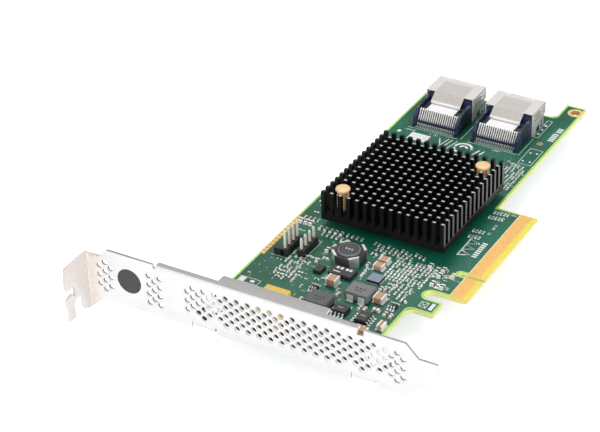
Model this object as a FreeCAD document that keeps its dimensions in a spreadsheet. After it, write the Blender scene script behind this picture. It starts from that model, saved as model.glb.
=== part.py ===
import math
import os
from types import SimpleNamespace

import FreeCAD
import Part
import Sketcher

# Driving sizes in millimetres
# Positions are taken from the corner of the bracket: X runs along the face, Y from the face into
# the card, Z upwards from the lower edge of the face.
SIZES = [
    # Sides of the small round pieces and of the ventilation holes
    ("rod_sides", 12),
    ("vent_sides", 6),
    # Sheet metal bracket: the face and its narrow neck beside the flange
    ("sheet_thick", 0.86),
    ("face_length", 120.02),
    ("face_height", 18.42),
    ("neck_reach", 5.5),
    ("neck_height", 15.4),
    ("foot_reach", 6.2),
    ("foot_start", 0.8),
    ("tongue_reach", 6.07),
    ("tongue_inset", 4.12),
    # Screw flange bent forward from the face
    ("flange_reach", 11.43),
    ("flange_drop", 5.0),
    ("flange_shoulder", 9.9),
    ("flange_taper", 0.5),
    ("notch_top", 7.1),
    ("notch_foot", 3.7),
    ("notch_depth", 3.2),
    ("notch_mouth", 1.2),
    ("prong_top", 5.0),
    ("prong_lift", 0.9),
    ("prong_width", 4.0),
    ("screw_notch_width", 3.9),
    ("screw_notch_top", 2.3),
    ("heel_width", 2.85),
    ("heel_lift", 1.3),
    ("flange_bend", 0.7),
    ("bend_outer", 1.0),
    ("bend_inner", 0.3),
    # Stiffening lip bent back along the top of the face
    ("lip_depth", 2.1),
    ("lip_wide_start", 47.0),
    ("lip_wide_end", 83.0),
    ("lip_wide_depth", 5.1),
    ("relief_place", 25.7),
    ("relief_width", 1.0),
    ("relief_depth", 1.1),
    ("top_notch_place", 95.4),
    ("top_notch_width", 2.2),
    ("top_notch_depth", 2.1),
    # Two tabs bent back under the board
    ("tab_one_place", 42.55),
    ("tab_two_place", 96.5),
    ("tab_width", 7.1),
    ("tab_depth", 9.4),
    ("tab_lift", 0.52),
    ("tab_relief_width", 0.8),
    ("tab_relief_top", 2.2),
    # Ventilation holes
    ("vent_width", 2.0),
    ("vent_first", 50.22),
    ("vent_top", 14.1),
    ("vent_step", 1.896),
    ("vent_row_step", 1.597),
    ("vent_rows", 7),
    ("vent_left_steps", 7),
    ("vent_right_steps", 31),
    ("side_vent_place", 7.4),
    ("side_vent_top", 13.5),
    ("side_vent_step", 2.0),
    ("side_vent_row_step", 1.615),
    ("mid_vent_place", 25.2),
    ("mid_vent_top", 13.7),
    ("mid_vent_step", 1.9),
    ("mid_vent_row_step", 1.6),
    # Fastening of the tabs
    ("screw_radius", 1.5),
    ("screw_head_radius", 2.75),
    ("screw_head_height", 1.8),
    ("screw_row", 5.6),
    ("tab_hole_gap", 0.1),
    ("board_hole_gap", 0.2),
    ("nut_width", 5.5),
    ("nut_height", 2.2),
    ("screw_past_nut", 0.5),
    # Circuit board outline
    ("board_thick", 1.57),
    ("board_left", 37.55),
    ("board_near", 1.3),
    ("board_far", 158.9),
    ("board_right", 92.4),
    ("foot_right", 100.5),
    ("foot_far", 9.5),
    ("wing_near", 35.4),
    ("wing_far", 42.0),
    ("wing_right", 100.5),
    ("wing_slot_end", 95.5),
    ("finger_near", 46.4),
    ("finger_far", 97.7),
    ("finger_right", 106.45),
    ("finger_bevel", 1.3),
    ("finger_bevel_drop", 0.4),
    ("key_place", 58.55),
    ("key_width", 1.9),
    ("key_end", 98.45),
    ("ear_left", 85.2),
    ("ear_far", 168.95),
    ("inner_round", 2.6),
    ("ear_hole_x", 90.0),
    ("ear_hole_y", 164.9),
    ("ear_hole_radius", 1.6),
    # Plated parts of the board
    ("plating", 0.05),
    ("finger_pitch", 1.0),
    ("finger_width", 0.7),
    ("finger_start", 100.4),
    ("finger_first", 47.25),
    ("fingers_near", 11),
    ("fingers_far", 38),
    ("strip_inset", 0.3),
    ("strip_width", 1.5),
    ("strip_near", 40.0),
    ("strip_far", 64.0),
    # Pin-fin heat sink
    ("sink_x", 68.6),
    ("sink_y", 84.8),
    ("sink_lift", 2.15),
    ("sink_base", 2.5),
    ("pin_height", 7.7),
    ("pin_pitch", 3.0),
    ("pin_wide", 1.3),
    ("pin_deep", 1.15),
    ("pin_rows", 15),
    ("pocket_rows", 2),
    ("sink_hole_gap", 0.6),
    # Controller package under the heat sink
    ("package_side", 29.0),
    ("package_height", 1.15),
    ("lid_side", 22.0),
    ("lid_height", 0.75),
    # Push pins through the heat sink and the board
    ("push_offset", 16.5),
    ("push_radius", 1.1),
    ("push_head_radius", 2.42),
    ("push_head_height", 1.0),
    ("push_head_above", 0.1),
    ("push_barb_radius", 1.75),
    ("push_barb_height", 0.8),
    ("push_tip_height", 0.9),
    ("push_barb_gap", 0.15),
    ("push_hole_gap", 0.35),
    ("spring_radius", 2.0),
    ("spring_wire", 0.35),
    # Two cable ports at the far end
    ("port_one_x", 52.3),
    ("port_two_x", 74.6),
    ("port_half_width", 8.85),
    ("port_near", 143.6),
    ("port_far", 154.1),
    ("port_height", 8.45),
    ("shell_thick", 0.3),
    ("shell_heel", 1.9),
    ("shell_heel_rise", 0.85),
    ("shell_far_rise", 4.45),
    ("leg_width", 0.8),
    ("leg_first", 2.7),
    ("leg_second", 6.5),
    ("leg_third", 8.7),
    ("shell_slot_near", 1.6),
    ("shell_slot_length", 7.2),
    ("shell_slot_height", 0.5),
    ("shell_slot_drop", 1.5),
    ("lip_half_width", 5.5),
    ("lip_run", 3.1),
    ("lip_fall", 2.2),
    ("housing_gap", 0.1),
    ("housing_top_gap", 1.6),
    ("nose_half_width", 7.5),
    ("nose_lift", 1.6),
    ("nose_far_gap", 1.2),
    ("nose_slot_half_width", 6.8),
    ("nose_slot_height", 1.2),
    ("nose_slot_lift", 2.9),
    ("rear_wall", 3.2),
    ("arm_near", 132.3),
    ("arm_thick", 1.1),
    ("arm_low", 3.55),
    ("arm_high", 6.2),
    ("arm_slope_end", 136.0),
    ("bar_near", 133.55),
    ("bar_far", 135.0),
    ("bar_low", 1.45),
    ("bar_high", 2.35),
    ("block_near", 135.8),
    ("block_far", 140.2),
    ("block_half_width", 5.1),
    ("block_top", 5.45),
    ("shelf_top", 4.6),
    ("contact_pitch", 0.8),
    ("contact_wide", 0.34),
    ("contacts_each", 18),
    ("contact_thick", 0.25),
    ("contact_foot", 0.95),
    ("contact_foot_thick", 0.2),
    # Pin headers
    ("header_pin", 0.64),
    ("header_pitch", 2.54),
    ("header_pins_each", 4),
    ("header_hole_gap", 0.08),
    ("header_tail", 1.5),
    ("header_one_x", 45.25),
    ("header_one_y", 43.25),
    ("header_one_tall", 8.55),
    ("header_two_x", 50.1),
    ("header_two_y", 45.0),
    ("header_two_tall", 6.35),
    ("header_base_wide", 2.5),
    ("header_base_tall", 2.35),
    ("header_ledge_reach", 2.2),
    ("header_ledge_deep", 2.4),
    # Leads and end caps of the soldered parts
    ("lead_thick", 0.2),
    ("lead_wide", 0.42),
    ("lead_pitch", 1.27),
    ("lead_reach", 1.0),
    ("lead_high", 0.75),
    ("cap_end", 0.45),
    ("cap_end_over", 0.04),
    ("clip_thick", 0.25),
    ("clip_wide", 2.2),
    ("disc_radius", 4.3),
    ("disc_height", 0.5),
    ("drum_chamfer", 2.6),
]

# Soldered parts: middle in X and Y, width, depth, height
SOLDERED = [
    ("inductor_one", 68.2, 24.2, 7.6, 6.6, 3.0),
    ("inductor_two", 77.1, 33.6, 7.8, 6.2, 3.0),
    ("drum_inductor", 64.5, 49.6, 9.6, 9.6, 3.5),
    ("film_capacitor", 59.5, 10.9, 8.3, 9.8, 8.9),
    ("logic_chip", 66.6, 41.6, 8.0, 5.0, 1.4),
    ("flat_chip", 76.95, 43.7, 4.4, 4.2, 0.9),
    ("converter_one", 75.5, 24.2, 5.0, 3.9, 1.5),
    ("converter_two", 83.5, 23.6, 3.9, 5.0, 1.5),
    ("switch_one", 88.2, 33.5, 2.8, 1.7, 1.0),
    ("switch_two", 62.4, 31.1, 2.8, 1.7, 1.0),
    ("rectifier", 59.2, 40.1, 2.8, 3.8, 1.1),
    ("capacitor_a", 66.3, 35.8, 3.4, 3.4, 2.4),
    ("capacitor_b", 83.2, 34.6, 3.2, 3.6, 1.9),
    ("capacitor_c", 74.9, 49.7, 3.2, 2.6, 1.6),
    ("capacitor_d", 74.9, 53.3, 3.2, 2.6, 1.6),
    ("capacitor_e", 86.9, 16.7, 3.2, 2.5, 2.4),
    ("capacitor_f", 90.2, 22.4, 1.9, 3.4, 1.6),
    ("capacitor_g", 85.1, 18.9, 2.6, 1.6, 1.2),
]

doc = FreeCAD.newDocument("HostBusAdapter")
sheet = doc.addObject("Spreadsheet::Sheet", "Sizes")


class Size:
    """A length together with the sheet expression that gives it."""

    def __init__(self, text, number):
        self.text = text
        self.number = number

    def join(self, sign, other, number):
        return Size("(%s %s %s)" % (self.text, sign, sized(other).text), number)

    def __float__(self):
        return self.number

    def __add__(self, other):
        return self.join("+", other, self.number + float(other))

    def __sub__(self, other):
        return self.join("-", other, self.number - float(other))

    def __mul__(self, other):
        return self.join("*", other, self.number * float(other))

    def __truediv__(self, other):
        return self.join("/", other, self.number / float(other))

    def __neg__(self):
        return Size("(0 - %s)" % self.text, -self.number)

    def whole(self):
        return int(round(self.number))


def sized(value):
    """A plain whole number or a size, as a size."""
    if isinstance(value, Size):
        return value
    return Size(str(value), float(value))


def fill_sheet():
    """Write every size to its own cell and give back a size for each alias."""
    rows = list(SIZES)
    for name, *numbers in SOLDERED:
        rows += [(name + ending, number) for ending, number in zip(("_x", "_y", "_w", "_d", "_h"), numbers)]
    named = {}
    for row, (alias, number) in enumerate(rows, start=1):
        sheet.set("A%d" % row, alias.replace("_", " "))
        sheet.set("B%d" % row, str(number))
        sheet.setAlias("B%d" % row, alias)
        named[alias] = Size("Sizes." + alias, float(number))
    doc.recompute()
    return SimpleNamespace(**named)


s = fill_sheet()
NOTHING = sized(0)

# How far a real edge may lie from the line that names it, across and along
EDGE_OFF = 0.001
EDGE_PAST = 0.01

# Side and middle ventilation fields, and the steps that the lowest row leaves out for the tab bends
SMALL_VENT_ROWS = 7
LOW_ROW_START = -4
LOW_ROW_GAPS = (-2, 22, 26, 28)

# Contacts that the key of the edge connector takes out, plus one
KEY_STEPS = 3

# Levels and middles that several pieces share
board_under = s.tab_lift + s.sheet_thick
board_top = board_under + s.board_thick
sink_under = board_top + s.sink_lift
sink_floor = sink_under + s.sink_base
sink_top = sink_floor + s.pin_height
middle_x = s.face_length / 2
middle_y = (s.ear_far - s.flange_reach) / 2
ground = s.flange_drop
push_places = [(s.sink_x - s.push_offset, s.sink_y - s.push_offset),
        (s.sink_x + s.push_offset, s.sink_y + s.push_offset)]
screw_places = [(s.tab_one_place, s.screw_row), (s.tab_two_place, s.screw_row)]
PIECES = []


def bind(thing, path, value):
    """Tie a property to the sheet."""
    thing.setExpression(path, sized(value).text)


def place(thing, x, y, z):
    """Tie the position of an object to the sheet."""
    bind(thing, "Placement.Base.x", x)
    bind(thing, "Placement.Base.y", y)
    bind(thing, "Placement.Base.z", z)


def piece(label, thing, x=NOTHING, y=NOTHING, z=NOTHING):
    """Name a finished piece and move it from the bracket's corner to the frame of the card."""
    thing.Label = label
    place(thing, x - middle_x, y - middle_y, z + ground)
    PIECES.append(thing)


def box(name, x, y, z):
    """A block between two limits along each axis."""
    thing = doc.addObject("Part::Box", name)
    for edge, (low, high) in zip(("Length", "Width", "Height"), (x, y, z)):
        bind(thing, edge, sized(high) - low)
    place(thing, x[0], y[0], z[0])
    return thing


def cylinder(name, x, y, z, radius):
    """An upright cylinder between two heights."""
    thing = doc.addObject("Part::Cylinder", name)
    bind(thing, "Radius", radius)
    bind(thing, "Height", sized(z[1]) - z[0])
    place(thing, x, y, z[0])
    return thing


def rod(name, x, y, z, radius, sides=None):
    """An upright many-sided rod between two heights, for small round pieces."""
    thing = doc.addObject("Part::Prism", name)
    thing.Polygon = sides or s.rod_sides.whole()
    bind(thing, "Circumradius", radius)
    bind(thing, "Height", sized(z[1]) - z[0])
    place(thing, x, y, z[0])
    return thing


def draw_outline(sketch, corners):
    """A closed outline whose corners are dimensioned from the sketch origin."""
    points = [FreeCAD.Vector(float(u), float(v), 0) for u, v in corners]
    first = sketch.GeometryCount
    for start, end in zip(points, points[1:] + points[:1]):
        sketch.addGeometry(Part.LineSegment(start, end))
    for index, (u, v) in enumerate(corners):
        line = first + index
        following = first + (index + 1) % len(corners)
        sketch.addConstraint(Sketcher.Constraint("Coincident", line, 2, following, 1))
    for index, (u, v) in enumerate(corners):
        line = first + index
        for kind, value in (("DistanceX", u), ("DistanceY", v)):
            number = sketch.addConstraint(Sketcher.Constraint(kind, -1, 1, line, 1, float(value)))
            sketch.setExpression("Constraints[%d]" % number, sized(value).text)


def draw_circle(sketch, u, v, radius):
    """A circle dimensioned from the sketch origin."""
    centre = FreeCAD.Vector(float(u), float(v), 0)
    ring = sketch.addGeometry(Part.Circle(centre, FreeCAD.Vector(0, 0, 1), float(radius)))
    for kind, value in (("DistanceX", u), ("DistanceY", v)):
        number = sketch.addConstraint(Sketcher.Constraint(kind, -1, 1, ring, 3, float(value)))
        sketch.setExpression("Constraints[%d]" % number, sized(value).text)
    number = sketch.addConstraint(Sketcher.Constraint("Radius", ring, float(radius)))
    sketch.setExpression("Constraints[%d]" % number, sized(radius).text)


# Turns of a sketch so that it stands on each of the three planes, and the way it is then thickened
TURNS = {
    "XY": (FreeCAD.Rotation(), FreeCAD.Vector(0, 0, 1), "z"),
    "XZ": (FreeCAD.Rotation(FreeCAD.Vector(1, 0, 0), 90), FreeCAD.Vector(0, 1, 0), "y"),
    "YZ": (FreeCAD.Rotation(FreeCAD.Vector(1, 1, 1), 120), FreeCAD.Vector(1, 0, 0), "x"),
}


def prism(name, plane, corners, start, end):
    """An outline drawn on one plane and thickened between two limits."""
    turn, direction, axis = TURNS[plane]
    sketch = doc.addObject("Sketcher::SketchObject", name + "Outline")
    sketch.Placement = FreeCAD.Placement(FreeCAD.Vector(0, 0, 0), turn)
    bind(sketch, "Placement.Base." + axis, start)
    draw_outline(sketch, corners)
    thing = doc.addObject("Part::Extrusion", name)
    thing.Base = sketch
    thing.DirMode = "Custom"
    thing.Dir = direction
    thing.Solid = True
    bind(thing, "LengthFwd", sized(end) - start)
    return thing


def fuse(name, things):
    """Several solids grown into one."""
    thing = doc.addObject("Part::MultiFuse", name)
    thing.Shapes = things
    return thing


def cut(name, base, tools):
    """One solid with others taken away."""
    thing = doc.addObject("Part::Cut", name)
    thing.Base = base
    thing.Tool = tools[0] if len(tools) == 1 else fuse(name + "Tools", tools)
    return thing


def group(name, things):
    """Separate solids kept side by side in one piece."""
    thing = doc.addObject("Part::Compound", name)
    thing.Links = things
    return thing


def repeated(name, shapes):
    """Many equal solids whose sizes are read from the sheet."""
    thing = doc.addObject("Part::Feature", name)
    thing.Shape = Part.makeCompound(shapes)
    return thing


def round_edges(name, base, picks):
    """Round straight edges, each found by its line across one axis and its limits along it."""
    doc.recompute()
    edges = []
    for axis, first, second, limits, radius in picks:
        across = [a for a in "xyz" if a != axis]
        for number, edge in enumerate(base.Shape.Edges, start=1):
            ends = [vertex.Point for vertex in edge.Vertexes]
            off = max(abs(getattr(p, across[0]) - float(first)) + abs(getattr(p,
                    across[1]) - float(second)) for p in ends)
            low, high = float(limits[0]) - EDGE_PAST, float(limits[1]) + EDGE_PAST
            inside = all(low < getattr(p, axis) < high for p in ends)
            if len(ends) == 2 and off < EDGE_OFF and inside:
                edges.append((number, float(radius), float(radius)))
    thing = doc.addObject("Part::Fillet", name)
    thing.Base = base
    thing.Edges = edges
    return thing


def solid_block(x, y, z):
    """A plain block for repeated pieces."""
    low = FreeCAD.Vector(float(x[0]), float(y[0]), float(z[0]))
    high = FreeCAD.Vector(float(x[1]), float(y[1]), float(z[1]))
    span = high - low
    return Part.makeBox(span.x, span.y, span.z, low)


def solid_outline(points, along):
    """A closed outline of space points thickened along a vector."""
    return Part.Face(Part.makePolygon(points + points[:1])).extrude(along)


# Bracket: one sheet with a flange, a lip, two tabs and the ventilation holes

def vent_places():
    """Middles of all the ventilation holes, in X and Z."""
    spots = []
    last_row = s.vent_rows.whole() - 1
    for row in range(s.vent_rows.whole()):
        for step in range(-s.vent_left_steps.whole(), s.vent_right_steps.whole() + 1):
            if (step + row) % 2:
                continue
            # The lowest row leaves room for the bends of the two tabs
            if row == last_row and (step < LOW_ROW_START or step in LOW_ROW_GAPS):
                continue
            spots.append((float(s.vent_first) + step * float(s.vent_step),
                    float(s.vent_top) - row * float(s.vent_row_step)))
    for row in range(SMALL_VENT_ROWS):
        level = float(s.side_vent_top) - row * float(s.side_vent_row_step)
        columns = (-1, 1) if row % 2 else (0,)
        spots += [(float(s.side_vent_place) + column * float(s.side_vent_step), level) for column in columns]
        level = float(s.mid_vent_top) - row * float(s.mid_vent_row_step)
        columns = (0,) if row % 2 else (-1, 1)
        spots += [(float(s.mid_vent_place) + column * float(s.mid_vent_step), level) for column in columns]
    return spots


def vent_tools():
    """Six-sided rods that open the ventilation holes."""
    reach = float(s.vent_width) / 2
    rods = []
    for x, z in vent_places():
        turns = [math.tau * corner / s.vent_sides.whole() for corner in range(s.vent_sides.whole())]
        ring = [FreeCAD.Vector(x + reach * math.cos(a), -float(s.sheet_thick),
                z + reach * math.sin(a)) for a in turns]
        rods.append(solid_outline(ring, FreeCAD.Vector(0, 3 * float(s.sheet_thick), 0)))
    return repeated("VentTools", rods)


def make_bracket():
    sheet_depth = (NOTHING, s.sheet_thick)
    shoulder = s.face_height - s.neck_height
    slope_end = s.face_length - s.tongue_reach
    tongue_top = s.face_height - s.tongue_inset
    face = prism("Face", "XZ", [
        (NOTHING, s.neck_height),
        (s.neck_reach, s.neck_height),
        (s.neck_reach + shoulder, s.face_height),
        (slope_end - s.tongue_inset, s.face_height),
        (slope_end, tongue_top),
        (s.face_length, tongue_top),
        (s.face_length, s.tongue_inset),
        (slope_end, s.tongue_inset),
        (slope_end - s.tongue_inset, NOTHING),
        (s.foot_reach, NOTHING),
        (s.foot_start, -s.flange_drop),
        (NOTHING, -s.flange_drop),
    ], *sheet_depth)
    edge = -s.flange_reach
    prong_inner = edge + s.prong_width
    prong_foot = s.prong_lift - s.flange_drop
    flange = prism("Flange", "YZ", [
        (s.sheet_thick, s.neck_height),
        (edge + s.flange_taper, s.neck_height),
        (edge, s.flange_shoulder),
        (edge + s.notch_mouth, s.notch_top),
        (edge + s.notch_mouth + s.notch_depth, s.notch_top),
        (edge + s.notch_mouth + s.notch_depth, s.notch_foot),
        (edge + s.notch_depth, s.prong_top),
        (edge, s.prong_top - s.notch_mouth),
        (edge + s.flange_taper, prong_foot),
        (prong_inner, prong_foot),
        (prong_inner, s.screw_notch_top - s.flange_taper),
        (prong_inner + s.screw_notch_width / 2, s.screw_notch_top),
        (prong_inner + s.screw_notch_width, s.screw_notch_top - s.flange_taper),
        (prong_inner + s.screw_notch_width, s.heel_lift * 2 - s.flange_drop),
        (-s.heel_width, s.heel_lift - s.flange_drop),
        (NOTHING, -s.flange_drop),
        (s.sheet_thick, -s.flange_drop),
    ], NOTHING, s.sheet_thick)
    lip_level = (s.face_height - s.sheet_thick, s.face_height)
    lip_limits = (s.relief_place + s.relief_width / 2, s.top_notch_place - s.top_notch_width / 2)
    lip = box("Lip", lip_limits, (NOTHING, s.lip_depth), lip_level)
    lip_wide = box("LipWide", (s.lip_wide_start, s.lip_wide_end), (NOTHING, s.lip_wide_depth), lip_level)
    tools = [
        box("LipRelief", (s.relief_place - s.relief_width / 2, s.relief_place + s.relief_width / 2),
            (-s.sheet_thick, s.lip_depth * 2), (s.face_height - s.relief_depth,
                    s.face_height + s.sheet_thick)),
        box("TopNotch", (s.top_notch_place - s.top_notch_width / 2,
                s.top_notch_place + s.top_notch_width / 2),
            (-s.sheet_thick, s.lip_depth * 2), (s.face_height - s.top_notch_depth,
                    s.face_height + s.sheet_thick)),
    ]
    tabs = []
    for number, middle in enumerate((s.tab_one_place, s.tab_two_place)):
        left = middle - s.tab_width / 2
        right = middle + s.tab_width / 2
        for side, (low, high) in enumerate(((left - s.tab_relief_width, left),
                (right, right + s.tab_relief_width))):
            tools.append(box("TabRelief%d%d" % (number, side), (low, high),
                    (-s.sheet_thick, s.sheet_thick * 2),
                             (-s.sheet_thick, s.tab_relief_top)))
        tools.append(box("TabClear%d" % number, (left, right), (-s.sheet_thick, s.sheet_thick * 2),
                         (-s.sheet_thick, s.tab_lift)))
        tabs.append(box("Tab%d" % number, (left, right), (NOTHING, s.tab_depth), (s.tab_lift, board_under)))
    tab_holes = [rod("TabHole%d" % n, x, y, (-s.sheet_thick, board_top), s.screw_radius + s.tab_hole_gap)
                 for n, (x, y) in enumerate(screw_places)]
    blank = cut("FaceNotched", fuse("FaceAndLip", [face, flange, lip, lip_wide]), tools)
    bent = cut("BentSheet", fuse("SheetWithTabs", [blank] + tabs), tab_holes)
    whole = (NOTHING, s.face_length)
    bends = [
        ("z", NOTHING, s.sheet_thick, (-s.flange_drop, s.neck_height), s.flange_bend),
        ("x", NOTHING, s.face_height, lip_limits, s.bend_outer),
        ("x", NOTHING, s.tab_lift, whole, s.bend_outer),
        ("x", s.sheet_thick, board_under, whole, s.bend_inner),
    ]
    rounded = round_edges("RoundedSheet", bent, bends)
    piece("bracket", cut("Bracket", rounded, [vent_tools()]))


def make_bracket_fasteners():
    screws = []
    nuts = []
    for number, (x, y) in enumerate(screw_places):
        head = rod("ScrewHead%d" % number, x, y, (s.tab_lift - s.screw_head_height, s.tab_lift),
                s.screw_head_radius)
        shank = rod("ScrewShank%d" % number, x, y,
                (s.tab_lift, board_top + s.nut_height + s.screw_past_nut), s.screw_radius)
        screws.append(fuse("Screw%d" % number, [head, shank]))
        nut = rod("NutBlank%d" % number, x, y, (board_top, board_top + s.nut_height),
                s.nut_width / sized(math.sqrt(3)), 6)
        bore = rod("NutBore%d" % number, x, y, (board_under, board_top + s.nut_height * 2), s.screw_radius)
        nuts.append(cut("Nut%d" % number, nut, [bore]))
    piece("bracket_screws", group("BracketScrews", screws))
    piece("bracket_nuts", group("BracketNuts", nuts))


# Circuit board with its wing, edge connector and ear

def header_places():
    """Middle of every header pin and how far it stands above the board."""
    rows = []
    for x, y, tall in ((s.header_one_x, s.header_one_y, s.header_one_tall),
            (s.header_two_x, s.header_two_y, s.header_two_tall)):
        rows.append([(x, y + s.header_pitch * pin, tall) for pin in range(s.header_pins_each.whole())])
    return rows


def make_board():
    panel = prism("Panel", "XY", [
        (s.board_left, s.board_near),
        (s.foot_right, s.board_near),
        (s.foot_right, s.foot_far),
        (s.board_right, s.foot_far),
        (s.board_right, s.wing_near),
        (s.wing_right, s.wing_near),
        (s.wing_right, s.wing_far),
        (s.board_right, s.wing_far),
        (s.board_right, s.finger_near),
        (s.finger_right, s.finger_near),
        (s.finger_right, s.finger_far),
        (s.board_right, s.finger_far),
        (s.board_right, s.ear_far),
        (s.ear_left, s.ear_far),
        (s.ear_left, s.board_far),
        (s.board_left, s.board_far),
    ], board_under, board_top)
    deep = (board_under - s.board_thick, board_top + s.board_thick)
    slot_middle = (s.wing_far + s.finger_near) / 2
    slot_round = (s.finger_near - s.wing_far) / 2
    filling = box("SlotFilling", (s.board_right, s.wing_slot_end), (s.wing_far, s.finger_near),
            (board_under, board_top))
    slot_end = cylinder("SlotEnd", s.wing_slot_end, slot_middle, deep, slot_round)
    key = box("Key", (s.key_end, s.finger_right + s.key_width),
            (s.key_place - s.key_width / 2, s.key_place + s.key_width / 2), deep)
    key_end = cylinder("KeyEnd", s.key_end, s.key_place, deep, s.key_width / 2)
    bevel_start = s.finger_right - s.finger_bevel
    fingers = (s.wing_far, s.finger_far + s.finger_bevel)
    tools = [slot_end, key, key_end]
    for name, flat, drop in (("Upper", board_top, -s.finger_bevel_drop),
            ("Lower", board_under, s.finger_bevel_drop)):
        away = s.board_thick if name == "Upper" else -s.board_thick
        tools.append(prism(name + "Bevel", "XZ", [
            (bevel_start, flat),
            (s.finger_right, flat + drop),
            (s.finger_right + s.finger_bevel, flat + drop),
            (s.finger_right + s.finger_bevel, flat + away),
            (bevel_start, flat + away),
        ], *fingers))
    tools.append(cylinder("EarHole", s.ear_hole_x, s.ear_hole_y, deep, s.ear_hole_radius))
    for number, (x, y) in enumerate(screw_places):
        tools.append(rod("ScrewHole%d" % number, x, y, deep, s.screw_radius + s.board_hole_gap))
    for number, (x, y) in enumerate(push_places):
        tools.append(rod("PushHole%d" % number, x, y, deep, s.push_radius + s.push_hole_gap))
    half = float(s.header_pin / 2 + s.header_hole_gap)
    wells = [solid_block((float(x) - half, float(x) + half), (float(y) - half, float(y) + half), deep)
             for row in header_places() for x, y, tall in row]
    tools.append(repeated("HeaderHoles", wells))
    rounded = round_edges("RoundedPanel", fuse("FullPanel", [panel, filling]), [
        ("z", s.board_right, s.wing_near, (board_under, board_top), s.inner_round),
        ("z", s.ear_left, s.board_far, (board_under, board_top), s.inner_round),
    ])
    piece("circuit_board", cut("CircuitBoard", rounded, tools))


def finger_places():
    """Middle of every edge contact, on both sides of the key."""
    first = float(s.finger_first)
    near = [first + float(s.finger_pitch) * step for step in range(s.fingers_near.whole())]
    far_first = near[-1] + float(s.finger_pitch) * KEY_STEPS
    return near + [far_first + float(s.finger_pitch) * step for step in range(s.fingers_far.whole())]


def make_plating():
    bevel_start = s.finger_right - s.finger_bevel
    half = float(s.finger_width / 2)
    for label, low, high in (("edge_contacts_top", board_top, board_top + s.plating),
            ("edge_contacts_bottom", board_under - s.plating, board_under)):
        pads = [solid_block((s.finger_start, bevel_start), (y - half, y + half),
                (low, high)) for y in finger_places()]
        piece(label, repeated(label.title().replace("_", ""), pads))
    strips = []
    for side, low, high in (("Top", board_top, board_top + s.plating),
            ("Bottom", board_under - s.plating, board_under)):
        left = s.board_left + s.strip_inset
        strips.append(box("Strip" + side, (left, left + s.strip_width), (s.strip_near, s.strip_far),
                (low, high)))
    piece("edge_strip", group("EdgeStrip", strips))


# Heat sink: a block crossed by two sets of slots that leave square pins

def own_plane(body, role):
    return [feature for feature in body.Origin.OriginFeatures if feature.Role == role][0]


def sketch_at(body, name, level):
    sketch = body.newObject("Sketcher::SketchObject", name)
    sketch.AttachmentSupport = (own_plane(body, "XY_Plane"), [""])
    sketch.MapMode = "FlatFace"
    bind(sketch, "AttachmentOffset.Base.z", level)
    return sketch


def rectangle(x, y):
    return [(x[0], y[0]), (x[1], y[0]), (x[1], y[1]), (x[0], y[1])]


def make_heat_sink():
    body = doc.addObject("PartDesign::Body", "HeatSink")
    spans = (s.pin_rows - 1) * s.pin_pitch
    half_x = (spans + s.pin_wide) / 2
    half_y = (spans + s.pin_deep) / 2
    block_top = s.sink_base + s.pin_height
    outline = sketch_at(body, "BlockOutline", NOTHING)
    draw_outline(outline, rectangle((-half_x, half_x), (-half_y, half_y)))
    block = body.newObject("PartDesign::Pad", "Block")
    block.Profile = outline
    bind(block, "Length", block_top)
    doc.recompute()
    gap_x = (s.pin_wide - half_x, s.pin_pitch - half_x)
    gap_y = (s.pin_deep - half_y, s.pin_pitch - half_y)
    for name, axis, x, y in (("Along", "X_Axis", gap_x, (-half_y - s.pin_deep, half_y + s.pin_deep)),
                             ("Across", "Y_Axis", (-half_x - s.pin_wide, half_x + s.pin_wide), gap_y)):
        outline = sketch_at(body, name + "Outline", block_top)
        draw_outline(outline, rectangle(x, y))
        slot = body.newObject("PartDesign::Pocket", name + "Slot")
        slot.Profile = outline
        bind(slot, "Length", s.pin_height)
        doc.recompute()
        row = body.newObject("PartDesign::LinearPattern", name + "Slots")
        row.Originals = [slot]
        row.Direction = (own_plane(body, axis), [""])
        bind(row, "Length", s.pin_pitch * (s.pin_rows - 2))
        row.Occurrences = s.pin_rows.whole() - 1
        body.Tip = row
        doc.recompute()
    # Two corners give up four pins each for the push pins
    span = s.pin_pitch * s.pocket_rows
    outline = sketch_at(body, "CornerOutline", block_top)
    draw_outline(outline, rectangle((gap_x[0], gap_x[0] + span), (gap_y[0], gap_y[0] + span)))
    draw_outline(outline, rectangle((-gap_x[0] - span, -gap_x[0]), (-gap_y[0] - span, -gap_y[0])))
    corners = body.newObject("PartDesign::Pocket", "CornerPockets")
    corners.Profile = outline
    bind(corners, "Length", s.pin_height)
    doc.recompute()
    outline = sketch_at(body, "HoleOutline", s.sink_base)
    for way in (-1, 1):
        draw_circle(outline, s.push_offset * way, s.push_offset * way, s.push_radius + s.sink_hole_gap)
    holes = body.newObject("PartDesign::Pocket", "PushHoles")
    holes.Profile = outline
    bind(holes, "Length", s.sink_base * 2)
    doc.recompute()
    piece("heat_sink", body, s.sink_x, s.sink_y, sink_under)


def centred(name, x, y, wide, deep, z):
    """A block given by its middle and its two limits in height."""
    return box(name, (x - wide / 2, x + wide / 2), (y - deep / 2, y + deep / 2), z)


def make_controller():
    package_top = board_top + s.package_height
    lid_top = package_top + s.lid_height
    package = centred("Package", s.sink_x, s.sink_y, s.package_side, s.package_side, (board_top, package_top))
    piece_from_corner("controller_package", package)
    lid = centred("Lid", s.sink_x, s.sink_y, s.lid_side, s.lid_side, (package_top, lid_top))
    piece_from_corner("controller_lid", lid)
    pad = centred("Pad", s.sink_x, s.sink_y, s.lid_side, s.lid_side, (lid_top, sink_under))
    piece_from_corner("thermal_pad", pad)


def piece_from_corner(label, thing):
    """Finish a piece that is a single primitive with a position of its own."""
    piece(label, group(label.title().replace("_", ""), [thing]))


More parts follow.
